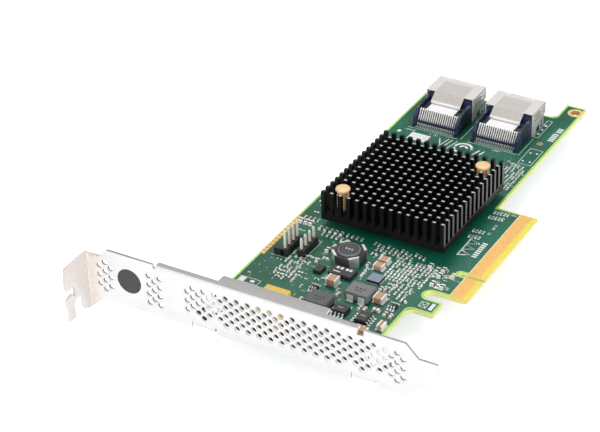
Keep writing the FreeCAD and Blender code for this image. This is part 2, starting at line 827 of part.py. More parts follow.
def make_push_pins():
    pins = []
    springs = []
    head_top = sink_top + s.push_head_above
    head_low = head_top - s.push_head_height
    barb_top = board_under - s.push_barb_gap
    for number, (x, y) in enumerate(push_places):
        head = rod("PushHead%d" % number, x, y, (head_low, head_top), s.push_head_radius)
        stem = rod("PushStem%d" % number, x, y,
                (barb_top - s.push_barb_height - s.push_tip_height, head_low), s.push_radius)
        barb = rod("PushBarb%d" % number, x, y, (barb_top - s.push_barb_height, barb_top), s.push_barb_radius)
        pins.append(fuse("PushPin%d" % number, [head, stem, barb]))
        coil = rod("Coil%d" % number, x, y, (sink_floor, head_low), s.spring_radius)
        inside = rod("CoilInside%d" % number, x, y, (sink_floor, head_low), s.spring_radius - s.spring_wire)
        springs.append(cut("PushSpring%d" % number, coil, [inside]))
    piece("push_pins", group("PushPins", pins))
    piece("push_pin_springs", group("PushPinSprings", springs))


# Cable ports: shell, housing, locating block and contacts

def contact_outline():
    """Side view of one contact, from the block down to the board."""
    inner_top = (s.block_near, board_top + s.block_top - s.contact_thick - s.plating)
    thick = s.contact_thick
    foot = board_top + s.contact_foot_thick
    bend = board_top + s.bar_high
    return [
        (inner_top[0], inner_top[1]),
        (s.bar_near + thick * 2, bend + thick * 2),
        (s.bar_near, bend),
        (s.bar_near - s.contact_foot, board_top),
        (s.bar_near - s.contact_foot * 2, board_top),
        (s.bar_near - s.contact_foot * 2, foot),
        (s.bar_near - s.contact_foot - thick / 2, foot),
        (s.bar_near - thick, bend + thick / 2),
        (s.bar_near + thick, bend + thick * 3),
        (inner_top[0], inner_top[1] + thick),
    ]


def make_port(label, middle):
    shell_top = board_top + s.port_height
    walls = (middle - s.port_half_width, middle + s.port_half_width)
    name = label.title().replace("_", "")

    outside = box(name + "Outside", walls, (s.port_near, s.port_far), (board_top, shell_top))
    inside = box(name + "Inside", (walls[0] + s.shell_thick, walls[1] - s.shell_thick),
                 (s.port_near - s.shell_thick, s.port_far + s.shell_thick), (board_top - s.shell_thick,
                         shell_top - s.shell_thick))
    beyond = s.port_far + s.shell_thick
    flare = prism(name + "Flare", "YZ", [
        (s.port_near + s.shell_heel, board_top - s.shell_thick),
        (s.port_near + s.shell_heel, board_top + s.shell_heel_rise),
        (beyond, board_top + s.shell_far_rise),
        (beyond, board_top - s.shell_thick),
    ], walls[0] - s.shell_thick, walls[1] + s.shell_thick)
    slots = []
    for turn in (0, 1):
        top = shell_top - s.shell_slot_drop - s.shell_slot_height * (turn * 3)
        slots.append(box("%sSlot%d" % (name, turn), (walls[0] - s.shell_thick, walls[1] + s.shell_thick),
                         (s.port_near + s.shell_slot_near,
                                 s.port_near + s.shell_slot_near + s.shell_slot_length),
                         (top - s.shell_slot_height, top)))
    channel = cut(name + "Channel", outside, [inside, flare] + slots)
    parts = [channel]
    for number, away in enumerate((s.leg_first, s.leg_second, s.leg_third)):
        for side, wall in enumerate((walls[0], walls[1] - s.shell_thick)):
            parts.append(box("%sLeg%d%d" % (name, number, side), (wall, wall + s.shell_thick),
                             (s.port_near + away - s.leg_width / 2, s.port_near + away + s.leg_width / 2),
                             (board_top, board_top + s.shell_far_rise + s.shell_thick)))
    parts.append(prism(name + "Lip", "YZ", [
        (s.port_near + s.shell_thick, shell_top),
        (s.port_near + s.shell_thick, shell_top - s.shell_thick),
        (s.port_near - s.lip_run, shell_top - s.lip_fall - s.shell_thick),
        (s.port_near - s.lip_run, shell_top - s.lip_fall),
        (s.port_near, shell_top),
    ], middle - s.lip_half_width, middle + s.lip_half_width))
    piece(label + "_shell", fuse(name + "Shell", parts))

    wide = s.port_half_width - s.shell_thick - s.housing_gap
    back_top = shell_top - s.housing_top_gap
    back = box(name + "Back", (middle - wide, middle + wide), (s.port_near, s.port_near + s.rear_wall),
            (board_top, back_top))
    nose = box(name + "Nose", (middle - s.nose_half_width, middle + s.nose_half_width),
               (s.port_near, s.port_far - s.nose_far_gap), (board_top + s.nose_lift, back_top))
    gap = box(name + "NoseGap", (middle - s.nose_slot_half_width, middle + s.nose_slot_half_width),
              (s.port_near + s.rear_wall, s.port_far), (board_top + s.nose_slot_lift,
                      board_top + s.nose_slot_lift + s.nose_slot_height))
    arms = []
    for side, (low, high) in enumerate(((middle - wide, middle - wide + s.arm_thick),
            (middle + wide - s.arm_thick, middle + wide))):
        arms.append(prism("%sArm%d" % (name, side), "YZ", [
            (s.arm_near, board_top),
            (s.port_near, board_top),
            (s.port_near, board_top + s.arm_high),
            (s.arm_slope_end, board_top + s.arm_high),
            (s.arm_near, board_top + s.arm_low),
        ], low, high))
    bar = box(name + "Bar", (middle - wide, middle + wide), (s.bar_near, s.bar_far),
            (board_top + s.bar_low, board_top + s.bar_high))
    shelf = box(name + "Shelf", (middle - wide, middle + wide), (s.block_near, s.port_near),
            (board_top, board_top + s.shelf_top))
    housing = fuse(name + "HousingBlank", [cut(name + "Slotted", nose, [gap]), back, bar, shelf] + arms)
    piece(label + "_housing", housing)

    block = box(name + "Block", (middle - s.block_half_width, middle + s.block_half_width),
                (s.block_near, s.block_far), (board_top + s.shelf_top, board_top + s.block_top))
    piece_from_corner(label + "_block", block)

    profile = contact_outline()
    half = float(s.contact_wide / 2)
    count = s.contacts_each.whole()
    first = float(middle) - float(s.contact_pitch) * (count - 1) / 2
    contacts = []
    for number in range(count):
        x = first + number * float(s.contact_pitch) - half
        points = [FreeCAD.Vector(x, float(y), float(z)) for y, z in profile]
        contacts.append(solid_outline(points, FreeCAD.Vector(2 * half, 0, 0)))
    piece(label + "_contacts", repeated(name + "Contacts", contacts))


# Pin headers near the bracket

def make_headers():
    half = s.header_pin / 2
    for label, row in zip(("header_one", "header_two"), header_places()):
        name = label.title().replace("_", "")
        x, y, tall = row[0]
        wide = s.header_base_wide / 2
        y_limits = (y - s.header_pitch / 2,
                y + s.header_pitch * (s.header_pins_each - 1) + s.header_pitch / 2)
        level = (board_top, board_top + s.header_base_tall)
        base = box(name + "Strip", (x - wide, x + wide), y_limits, level)
        if label == "header_one":
            ledge = box(name + "Ledge", (x - wide - s.header_ledge_reach, x),
                    (y_limits[0], y_limits[0] + s.header_ledge_deep), level)
            base = fuse(name + "Stepped", [base, ledge])
        size = float(half)
        wells = [solid_block((float(px) - size, float(px) + size), (float(py) - size, float(py) + size),
                             (float(board_under), float(level[1]) + size)) for px, py, high in row]
        piece(label + "_base", cut(name + "Base", base, [repeated(name + "Wells", wells)]))
        pins = [box("%sPin%d" % (name, n), (px - half, px + half), (py - half, py + half),
                (board_under - s.header_tail, board_top + high))
                for n, (px, py, high) in enumerate(row)]
        piece(label + "_pins", group(name + "Pins", pins))


# Soldered parts

def part_size(name):
    """Middle, width, depth and height of one soldered part."""
    return [getattr(s, name + ending) for ending in ("_x", "_y", "_w", "_d", "_h")]


def soldered_block(name, lift=NOTHING):
    x, y, wide, deep, high = part_size(name)
    return centred(name.title().replace("_", ""), x, y, wide, deep, (board_top + lift, board_top + high))


def gull_leads(name, count, along_x):
    """Two rows of bent leads beside a chip: a foot on the board and a riser against the body."""
    x, y, wide, deep, high = [float(v) for v in part_size(name)]
    thick, reach, rise = float(s.lead_thick), float(s.lead_reach), float(s.lead_high)
    low = float(board_top)
    pitch = min(float(s.lead_pitch), (wide if along_x else deep) / count)
    leads = []
    for side in (-1, 1):
        for number in range(count):
            shift = (number - (count - 1) / 2) * pitch - float(s.lead_wide) / 2
            edge = (deep if along_x else wide) / 2
            profile = [(edge + reach, low), (edge + reach, low + thick), (edge + thick * 2, low + thick),
                       (edge, low + rise + thick), (edge, low + rise), (edge + thick, low)]
            if along_x:
                points = [FreeCAD.Vector(x + shift, y + side * a, z) for a, z in profile]
                along = FreeCAD.Vector(float(s.lead_wide), 0, 0)
            else:
                points = [FreeCAD.Vector(x + side * a, y + shift, z) for a, z in profile]
                along = FreeCAD.Vector(0, float(s.lead_wide), 0)
            leads.append(solid_outline(points, along))
    return leads


def make_power_parts():
    clips = []
    for name, label in (("inductor_one", "power_inductor_one"), ("inductor_two", "power_inductor_two")):
        x, y, wide, deep, high = part_size(name)
        piece_from_corner(label, soldered_block(name, s.clip_thick))
        for side in (-1, 1):
            place_x = x + (wide / 4) * side
            near = y - deep / 2
            foot = centred("%sFoot%d" % (name, side + 1), place_x, y, s.clip_wide, deep,
                    (board_top, board_top + s.clip_thick))
            riser = box("%sRiser%d" % (name, side + 1),
                    (place_x - s.clip_wide / 2, place_x + s.clip_wide / 2),
                        (near - s.clip_thick, near), (board_top, board_top + high * 2 / 3))
            clips.append(fuse("%sClip%d" % (name, side + 1), [foot, riser]))
    piece("power_inductor_clips", group("PowerInductorClips", clips))
    x, y, wide, deep, high = part_size("drum_inductor")
    left, right, near, far = x - wide / 2, x + wide / 2, y - deep / 2, y + deep / 2
    trim = s.drum_chamfer
    drum = prism("DrumBody", "XY", [
        (left + trim, near), (right - trim, near), (right, near + trim), (right, far - trim),
        (right - trim, far), (left + trim, far), (left, far - trim), (left, near + trim),
    ], board_top, board_top + high)
    piece("drum_inductor_body", drum)
    disc = rod("DrumDisc", x, y, (board_top + high, board_top + high + s.disc_height), s.disc_radius,
            s.rod_sides.whole() * 2)
    piece_from_corner("drum_inductor_disc", disc)
    piece_from_corner("film_capacitor", soldered_block("film_capacitor"))


def make_chips():
    lead_sets = (("converter_one", 4, True), ("converter_two", 4, False), ("switch_one", 3, True),
            ("switch_two", 3, True))
    bodies = [soldered_block(name, s.lead_thick) for name, count, along in lead_sets]
    piece("leaded_chips", group("LeadedChips", bodies))
    leads = []
    for name, count, along in lead_sets:
        leads += gull_leads(name, count, along)
    piece("chip_leads", repeated("ChipLeads", leads))
    for name in ("logic_chip", "flat_chip", "rectifier"):
        piece_from_corner(name, soldered_block(name))


def make_capacitors():
    bodies = []
    ends = []
    over = s.cap_end_over
    for letter in "abcdefg":
        name = "capacitor_" + letter
        x, y, wide, deep, high = part_size(name)
        bodies.append(centred("Body" + letter, x, y, wide - s.cap_end * 2, deep,
                (board_top, board_top + high)))
        for side in (-1, 1):
            middle = x + (wide - s.cap_end) / 2 * side
            ends.append(centred("End%s%d" % (letter, side + 1), middle, y, s.cap_end, deep + over * 2,
                    (board_top, board_top + high + over)))
    piece("ceramic_capacitors", group("CeramicCapacitors", bodies))
    piece("ceramic_capacitor_ends", group("CeramicCapacitorEnds", ends))


make_bracket()
make_bracket_fasteners()
make_board()
make_plating()
make_heat_sink()
make_controller()
make_push_pins()
make_port("port_one", s.port_one_x)
make_port("port_two", s.port_two_x)
make_headers()
make_power_parts()
make_chips()
make_capacitors()
doc.recompute()

# Check every object and write each piece
for thing in doc.Objects:
    if "Invalid" in thing.State or "Error" in thing.State:
        raise RuntimeError("%s could not be built: %s" % (thing.Name, thing.State))
os.makedirs("parts", exist_ok=True)
for thing in PIECES:
    if thing.Shape.isNull() or not thing.Shape.isValid() or not thing.Shape.Solids:
        raise RuntimeError("%s has no sound shape" % thing.Label)
for thing in PIECES:
    thing.Shape.exportStep("parts/%s.step" % thing.Label)
    print(thing.Label, len(thing.Shape.Solids), round(thing.Shape.Volume, 2))
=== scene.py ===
import math
import random

import bmesh
import bpy
from mathutils import Matrix, Vector


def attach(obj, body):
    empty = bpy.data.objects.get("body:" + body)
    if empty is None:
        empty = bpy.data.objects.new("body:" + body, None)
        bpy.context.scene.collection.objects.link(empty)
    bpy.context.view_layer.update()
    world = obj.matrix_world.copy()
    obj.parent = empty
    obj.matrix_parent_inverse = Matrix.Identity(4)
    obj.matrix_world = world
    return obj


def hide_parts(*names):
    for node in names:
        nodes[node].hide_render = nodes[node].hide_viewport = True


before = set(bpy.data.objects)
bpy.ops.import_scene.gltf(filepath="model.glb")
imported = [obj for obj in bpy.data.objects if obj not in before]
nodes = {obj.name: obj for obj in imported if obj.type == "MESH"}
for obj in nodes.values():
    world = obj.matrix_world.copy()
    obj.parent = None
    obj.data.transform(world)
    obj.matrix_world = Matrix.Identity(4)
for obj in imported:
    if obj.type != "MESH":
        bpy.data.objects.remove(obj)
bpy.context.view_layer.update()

# Positions below are in millimetres from the bracket's corner: X along its face, Y from the face
# into the card, Z up from the lower edge of the face. CORNER is that corner in the card's frame.
MM = 0.001
CORNER = Vector((-60.01, -78.76, 5.0))
SHEET = 0.86
BOARD_UNDER = 1.38
BOARD_TOP = 2.95
SINK = (68.6, 84.8)
SINK_PITCH = 3.0
PUSH_PIN_REACH = 16.5
SCREWS_X = (42.55, 96.5)
SCREWS_Y = 5.6
PORTS = (("port_one", 52.3), ("port_two", 74.6))
PORT_CONTACTS = 18
PORT_PITCH = 0.8
HEADER_PITCH = 2.54


def spot(x, y, z):
    """A point in metres in the card's frame."""
    return (Vector((x, y, z)) + CORNER) * MM


# Materials

def fill(tree, node, inputs):
    """Give a node its inputs, each a value or another node's output."""
    for place, value in inputs.items():
        if isinstance(value, bpy.types.NodeSocket):
            tree.links.new(value, node.inputs[place])
        else:
            node.inputs[place].default_value = value


def add_node(tree, kind, output, inputs=None, **settings):
    """Add a shader node with its settings and inputs, and give one of its outputs."""
    node = tree.nodes.new("ShaderNode" + kind)
    for name, value in settings.items():
        setattr(node, name, value)
    fill(tree, node, inputs or {})
    return node.outputs[output]


def new_material(name):
    material = bpy.data.materials.new(name)
    material.use_nodes = True
    return material, material.node_tree, material.node_tree.nodes["Principled BSDF"]


def coordinates(tree, stretch=(1, 1, 1)):
    place = add_node(tree, "TexCoord", "Object")
    return add_node(tree, "Mapping", "Vector", {"Vector": place, "Scale": stretch})


def noise(tree, vector, scale, detail=3.0):
    return add_node(tree, "TexNoise", "Fac", {"Vector": vector, "Scale": scale, "Detail": detail})


def calculate(tree, operation, first, second=0.0):
    return add_node(tree, "Math", "Value", {0: first, 1: second}, operation=operation)


def mix(tree, factor, first, second, blend="MIX"):
    return add_node(tree, "Mix", "Result", {"Factor": factor, "A": first, "B": second},
                    data_type="RGBA", blend_type=blend)


def ramp(tree, factor, low, high, places=(0.3, 0.7)):
    """A blend of two colours."""
    fade = tree.nodes.new("ShaderNodeValToRGB")
    for stop, place, colour in zip(fade.color_ramp.elements, places, (low, high)):
        stop.position = place
        stop.color = (*colour, 1.0)
    tree.links.new(factor, fade.inputs["Fac"])
    return fade.outputs["Color"]


def mottled(tree, vector, scale, colour, spread):
    """A colour that varies a little either way."""
    low, high = (tuple(min(1.0, channel * part) for channel in colour) for part in (1 - spread, 1 + spread))
    return ramp(tree, noise(tree, vector, scale), low, high)


# Masks: each gives a function that adds its nodes to a tree, for lay_over

def home(axis):
    return CORNER["XYZ".index(axis)]


def slope(tree, value, low, high):
    """0 below one value and 1 above another."""
    return add_node(tree, "MapRange", "Result", {"Value": value, "From Min": low, "From Max": high})


def part_of(tree, axis, kind, output):
    return add_node(tree, "SeparateXYZ", axis, {"Vector": add_node(tree, kind, output)})


def past(axis, low, high):
    """By place: 0 before one place along an axis and 1 past another."""
    return lambda tree: slope(tree, part_of(tree, axis, "TexCoord", "Object"),
                              (low + home(axis)) * MM, (high + home(axis)) * MM)


def facing(axis, low, high):
    """By the way that the surface faces."""
    return lambda tree: slope(tree, part_of(tree, axis, "NewGeometry", "Normal"), low, high)


def stripes(axis, middle, pitch, half, soft=0.06):
    """1 within half a width of every multiple of the pitch along an axis."""
    def make(tree):
        place = part_of(tree, axis, "TexCoord", "Object")
        shift = calculate(tree, "SUBTRACT", place, (middle + home(axis)) * MM)
        wave = calculate(tree, "PINGPONG", shift, pitch * MM / 2)
        return slope(tree, wave, (half + soft) * MM, (half - soft) * MM)
    return make


def lay_over(tree, before, colour, *masks):
    """One more colour over another where every mask is 1."""
    factor = masks[0](tree)
    for mask in masks[1:]:
        factor = calculate(tree, "MULTIPLY", factor, mask(tree))
    return mix(tree, factor, before, mottled(tree, coordinates(tree), 1200.0, colour, 0.07))


def finish(name, colour, rough=0.5, metal=0.0, spread=0.1, scale=900.0, bump=0.05, coat=0.0,
           specular=0.5, stretch=(1, 1, 1), layers=()):
    """A surface with slight changes of colour, gloss and level, and other colours over parts of it."""
    material, tree, shader = new_material(name)
    vector = coordinates(tree, stretch)
    base = mottled(tree, vector, scale, colour, spread)
    for layer in layers:
        base = lay_over(tree, base, *layer)
    gloss = add_node(tree, "MapRange", "Result", {
        "Value": noise(tree, vector, scale * 2.3),
        "To Min": max(0.02, rough - 0.08), "To Max": min(1.0, rough + 0.08)})
    grain = add_node(tree, "Bump", "Normal", {
        "Height": noise(tree, vector, scale * 3.0, 5.0), "Strength": bump, "Distance": 0.00002})
    fill(tree, shader, {"Base Color": base, "Roughness": gloss, "Normal": grain, "Metallic": metal,
                        "Coat Weight": coat, "Specular IOR Level": specular})
    return material


GREEN = (0.0035, 0.125, 0.064)
GREEN_LIGHT = (0.008, 0.170, 0.100)
BLACK = (0.02, 0.02, 0.02)

# Painted shade of the bracket: the board behind it is darker, on all but the underside
PAINTED_BRACKET_SHADE = ((0.006, 0.018, 0.014), past("Y", 19.0, 13.0), facing("Z", -0.9, -0.5))
# Contacts are brighter yellow on their bevelled ends and cream where they start
CONTACT_ENDS = (((1.0, 0.84, 0.12), past("X", 104.3, 105.4)),
                ((0.98, 0.86, 0.55), past("X", 100.8, 100.6)))


def board_material():
    """Lacquered board: teal flats with paler copper areas, bright laminate at every cut edge."""
    material, tree, shader = new_material("board_lacquer")
    vector = coordinates(tree)
    flats = ramp(tree, noise(tree, vector, 70.0, 2.0), GREEN, GREEN_LIGHT, (0.42, 0.58))
    weave = ramp(tree, noise(tree, vector, 1800.0), (0.82, 0.82, 0.82), (1.0, 1.0, 1.0))
    laminate = ramp(tree, noise(tree, vector, 900.0), (0.86, 0.90, 0.34), (0.95, 0.96, 0.46))
    upright = calculate(tree, "ABSOLUTE", part_of(tree, "Z", "NewGeometry", "Normal"))
    base = mix(tree, calculate(tree, "GREATER_THAN", upright, 0.985), laminate,
               mix(tree, 1.0, flats, weave, "MULTIPLY"))
    # Painted shade of the bracket on the board behind it
    base = lay_over(tree, base, *PAINTED_BRACKET_SHADE)
    # Painted light: a bright gold-yellow on the cut edges near the edge connector, where the walls would
    # otherwise lie in shade
    base = lay_over(tree, base, (1.0, 0.84, 0.26), past("X", 100.4, 101.4), facing("Z", 0.97, 0.90))
    grain = add_node(tree, "Bump", "Normal", {
        "Height": noise(tree, vector, 700.0, 4.0), "Strength": 0.15, "Distance": 0.00003})
    fill(tree, shader, {"Base Color": base, "Normal": grain, "Roughness": 0.34,
                        "Specular IOR Level": 0.4, "Coat Weight": 0.1, "Coat Roughness": 0.2})
    return material


MATERIALS = {
    # Pale nickel with painted light: painted shade on the faces that look up, a warm painted shade on the
    # flange and on the neck beside it, a painted highlight along the bend between them, and a paler painted
    # lower part of the flange
    "nickel": finish("nickel", (0.86, 0.86, 0.855), 0.48, 0.15, 0.02, 300.0, stretch=(1, 1, 9), layers=(
        ((0.37, 0.36, 0.355), facing("Z", 0.75, 0.95)),
        ((0.82, 0.72, 0.66), past("X", 7.5, 3.5)),
        ((0.90, 0.88, 0.86), past("X", 2.0, 1.5), past("X", 0.7, 0.9)),
        ((0.74, 0.63, 0.57), past("X", 0.88, 0.80)),
        ((0.82, 0.81, 0.80), past("X", 0.88, 0.80), past("Z", 6.0, 1.0)))),
    # White rims of the vents, with painted shade on the back of their walls in the side fields, where nothing
    # lies behind them
    "rim": finish("vent_rim", (0.95, 0.95, 0.945), spread=0.03, layers=(
        (BLACK, past("Y", 0.46, 0.52), past("X", 43.0, 42.8)),
        (BLACK, past("Y", 0.46, 0.52), past("X", 104.4, 104.6)))),
    "ink": finish("dark_ink", (0.035, 0.035, 0.04), spread=0.15, scale=1500.0),
    "screw": finish("screw_zinc", (0.62, 0.62, 0.6), 0.32, 1.0, 0.08, 1500.0),
    "board": board_material(),
    "track": finish("covered_track", (0.010, 0.175, 0.105), 0.34, spread=0.12, coat=0.1),
    "print": finish("white_print", (0.90, 0.93, 0.91), 0.6, spread=0.08, scale=1200.0),
    "gold": finish("gold_plate", (0.98, 0.66, 0.28), 0.42, 0.1, scale=700.0),
    "pads": finish("gold_contact", (1.0, 0.57, 0.16), 0.42, 0.1, 0.08, 700.0, layers=CONTACT_ENDS),
    "between": finish("bare_laminate", (0.88, 0.46, 0.13), 0.42, 0.1, 0.08, 700.0, layers=CONTACT_ENDS),
    # Gold strip with darker orange patches side by side
    "strip": finish("gold_strip", (0.93, 0.66, 0.26), 0.42, 0.1, scale=700.0, layers=(
        ((0.78, 0.36, 0.10), stripes("Y", 40.0, 1.9, 0.5)),)),
    "lining": finish("hole_lining", (0.50, 0.27, 0.06), 0.45, 0.1, 0.12, 700.0),
    # Black anodising, with a painted highlight on each pin's top but the outermost rows, and painted light on
    # the paler outer side that faces +X
    "fins": finish("black_anodised", (0.0035, 0.0033, 0.0045), spread=0.2, scale=1500.0, bump=0.08,
                   specular=0.22, layers=(
        ((0.016, 0.016, 0.020), past("Z", 15.2, 15.25)),
        ((0.62, 0.62, 0.64), past("Z", 15.2, 15.25),
         past("X", SINK[0] - 19.7, SINK[0] - 19.3), past("Y", SINK[1] + 19.7, SINK[1] + 19.3),
         stripes("X", SINK[0], SINK_PITCH, 0.50), stripes("Y", SINK[1], SINK_PITCH, 0.30)),
        ((0.15, 0.15, 0.16), past("X", 90.1, 90.2), facing("X", 0.9, 0.95), past("Z", 7.0, 8.2)))),
    # Bare laminate beside the cut edge, yellow at the edge contacts, with painted shade of the bracket behind
    # it
    "margin": finish("bare_margin", (0.46, 0.80, 0.13), scale=700.0, layers=(
        ((1.0, 0.84, 0.22), past("X", 100.6, 101.2)), PAINTED_BRACKET_SHADE)),
    "carrier": finish("chip_carrier", (0.03, 0.13, 0.08)),
    "lid": finish("chip_lid", (0.6, 0.6, 0.62), 0.35, 1.0, 0.05),
    "pad": finish("heat_pad", (0.40, 0.42, 0.45), 0.8),
    "nylon": finish("tan_nylon", (0.95, 0.64, 0.32), 0.45, spread=0.08, coat=0.1),
    # Pale sheet, darker on the pressed part, with painted shade on the sides
    "shell": finish("port_shell", (0.80, 0.775, 0.74), 0.40, 0.2, 0.04, 500.0, 0.08, stretch=(8, 1, 1),
                    layers=(
        ((0.64, 0.605, 0.57), stripes("X", 52.3, 22.3, 5.4), past("Y", 152.2, 150.4), facing("Z", 0.5, 0.7)),
        ((0.58, 0.60, 0.57), facing("X", 0.7, 0.9)))),
    # Navy plastic with painted highlights on its upper faces, where they catch the light, and painted shade
    # under the tongue
    "housing": finish("port_housing", (0.026, 0.038, 0.095), 0.48, spread=0.15, bump=0.12, layers=(
        ((0.085, 0.105, 0.19), facing("Z", 0.8, 0.95)),
        ((0.012, 0.016, 0.035), past("Y", 135.2, 135.4), past("Y", 141.2, 140.6)))),
    "white": finish("white_plastic", (0.95, 0.95, 0.95), spread=0.04),
    # Bright blades, duller on the feet below the bar
    "contact": finish("contact_metal", (0.98, 0.95, 0.91), 0.34, 0.1, 0.06, layers=(
        ((0.42, 0.48, 0.45), past("Y", 132.9, 132.7), past("Z", 4.4, 4.2)),)),
    "header": finish("header_plastic", (0.018, 0.020, 0.022), spread=0.2, bump=0.12),
    "pin": finish("header_pin", (1.0, 0.94, 0.80), 0.30, 0.1, 0.05),
    # Pressed powder, darker on the inductor beside the bracket
    "powder": finish("pressed_powder", (0.205, 0.21, 0.215), 0.55, spread=0.22, scale=2600.0, bump=0.35,
                     layers=(((0.115, 0.125, 0.125), past("Y", 29.5, 28.5)),)),
    "tin": finish("bright_tin", (0.93, 0.92, 0.89), 0.35, 0.2, 0.08, 1200.0),
    "clip": finish("silver_clip", (0.72, 0.71, 0.69), 0.32, 0.85, 0.08),
    "ferrite": finish("dark_ferrite", (0.050, 0.052, 0.062), 0.36, spread=0.2, scale=2000.0, bump=0.2),
    # Painted highlight: a pale grey ring for the drum's disc
    "ring_highlight": finish("painted_ring_highlight", (0.20, 0.205, 0.22), 0.4, scale=2000.0),
    # Yellow case, with painted light on the upper part of the side towards the bracket and painted shade near
    # its foot
    "yellow": finish("yellow_case", (0.98, 0.66, 0.08), 0.42, spread=0.06, layers=(
        ((0.80, 0.70, 0.30), facing("Y", -0.8, -0.95), past("Z", 8.2, 9.0)),
        ((0.10, 0.075, 0.02), facing("Y", -0.8, -0.95), past("Z", 8.4, 7.8)))),
    "resin": finish("chip_resin", (0.022, 0.022, 0.025), spread=0.25, scale=2600.0, bump=0.3),
    # Black chip with a blue-grey top
    "blue_resin": finish("blue_resin", (0.012, 0.012, 0.016), 0.4, spread=0.12, scale=2600.0, bump=0.2,
                         layers=(((0.26, 0.29, 0.42), facing("Z", 0.9, 0.98)),)),
    "ceramic": finish("tan_ceramic", (0.60, 0.34, 0.21), spread=0.12, scale=1800.0),
    "copper": finish("bare_copper", (0.45, 0.28, 0.18), 0.4, 0.2),
    "mark": finish("grey_mark", (0.50, 0.50, 0.50), 0.6, spread=0.05),
}


# Shapes: lists of points and faces in millimetres

def circle(x, y, radius, steps=24):
    turns = [math.tau * step / steps for step in range(steps)]
    return [(x + radius * math.cos(turn), y + radius * math.sin(turn)) for turn in turns]


def arc(x, y, radius, start, end, steps=8):
    turns = [math.radians(start + (end - start) * step / steps) for step in range(steps + 1)]
    return [(x + radius * math.cos(turn), y + radius * math.sin(turn)) for turn in turns]


def rectangle(x, y):
    return [(x[0], y[0]), (x[1], y[0]), (x[1], y[1]), (x[0], y[1])]


def around(middle, half):
    return middle - half, middle + half


def chamfered(x, y, a, b, trim):
    """A rectangle of half sides a and b with its corners cut off."""
    return [(x - a + trim, y - b), (x + a - trim, y - b), (x + a, y - b + trim), (x + a, y + b - trim),
            (x + a - trim, y + b), (x - a + trim, y + b), (x - a, y + b - trim), (x - a, y - b + trim)]


def neighbours(path, index):
    return path[max(0, index - 1)], path[min(len(path) - 1, index + 1)]


def ribbon(path, half):
    """The outline of a bent strip along a path."""
    sides = ([], [])
    for index, (u, v) in enumerate(path):
        before, after = neighbours(path, index)
        along = Vector((after[0] - before[0], after[1] - before[1])).normalized() * half
        sides[0].append((u + along.y, v - along.x))
        sides[1].insert(0, (u - along.y, v + along.x))
    return sides[0] + sides[1]


class Shape:
    """Points and faces, with heights above a base level."""

    def __init__(self, base=0.0):
        self.base = Vector((0, 0, base))
        self.points = []
        self.faces = []

    def add(self, points, faces):
        start = len(self.points)
        self.points += [Vector(p) + self.base for p in points]
        self.faces += [[start + index for index in face] for face in faces]
        return self

    def join(self, other, move=Vector):
        """Add another shape, with each of its points moved."""
        return self.add([move(p) for p in other.points], other.faces)

    def box(self, x, y, z):
        corners = [(a, b, c) for c in z for b in y for a in x]
        return self.add(corners, [(0, 2, 3, 1), (4, 5, 7, 6), (0, 1, 5, 4),
                                  (2, 6, 7, 3), (0, 4, 6, 2), (1, 3, 7, 5)])

    def block(self, x, y, wide, deep, z):
        """A box given by its middle."""
        return self.box(around(x, wide / 2), around(y, deep / 2), z)

    def loft(self, rings, closed=False):
        """Rings of points joined one to the next, with a cap at each end unless the last joins the first."""
        steps, count = len(rings[0]), len(rings)
        faces = []
        for row in range(count if closed else count - 1):
            low, high = row * steps, (row + 1) % count * steps
            faces += [(low + k, low + (k + 1) % steps, high + (k + 1) % steps, high + k)
                      for k in range(steps)]
        if not closed:
            last = (count - 1) * steps
            faces += [tuple(reversed(range(steps))), tuple(range(last, last + steps))]
        return self.add([point for ring in rings for point in ring], faces)

    def prism(self, outline, axis, low, high):
        """An outline in the plane across one axis, in X, Y, Z order, thickened along that axis."""
        place = "xyz".index(axis)
        return self.loft([[(*pair[:place], level, *pair[place:]) for pair in outline]
                          for level in (low, high)])

    def turned(self, x, y, profile, steps=24):
        """A profile of radius and height turned round an upright axis; it starts and ends on flat caps."""
        return self.loft([[(*point, z) for point in circle(x, y, radius, steps)] for radius, z in profile])

    def tube(self, path, radius, sides=8):
        """A round wire along a path of points."""
        rings = []
        for index, point in enumerate(path):
            before, after = neighbours(path, index)
            along = (Vector(after) - Vector(before)).normalized()
            across = along.cross(Vector((0, 0, 1))).normalized()
            upward = across.cross(along)
            rings.append([Vector(point) + across * u + upward * v for u, v in circle(0, 0, radius, sides)])
        return self.loft(rings)


def piece(name, shape, material, replaces=(), bevel=0.0, segments=1, smooth=False):
    """Make a mesh of the shape, in metres, clean and dress it, and let it ride on the card."""
    mesh = bpy.data.meshes.new(name)
    mesh.from_pydata([spot(*p) for p in shape.points], [], shape.faces)
    work = bmesh.new()
    work.from_mesh(mesh)
    bmesh.ops.recalc_face_normals(work, faces=work.faces)
    work.to_mesh(mesh)
    work.free()
    mesh.materials.append(MATERIALS[material])
    thing = bpy.data.objects.new(name, mesh)
    bpy.context.scene.collection.objects.link(thing)
    if bevel:
        rounding = thing.modifiers.new("edges", "BEVEL")
        rounding.width = bevel * MM
        rounding.segments = segments
        rounding.limit_method = "ANGLE"
        rounding.angle_limit = math.radians(40)
    if smooth:
        for polygon in mesh.polygons:
            polygon.use_smooth = True
        corner = thing.modifiers.new("corners", "EDGE_SPLIT")
        corner.split_angle = math.radians(42)
    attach(thing, "root")
    if replaces:
        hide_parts(*([replaces] if isinstance(replaces, str) else replaces))


def dress(node, material):
    """Give a CAD node a better material."""
    thing = nodes[node]
    if not thing.material_slots:
        thing.data.materials.append(MATERIALS[material])
    for place in thing.material_slots:
        place.material = MATERIALS[material]


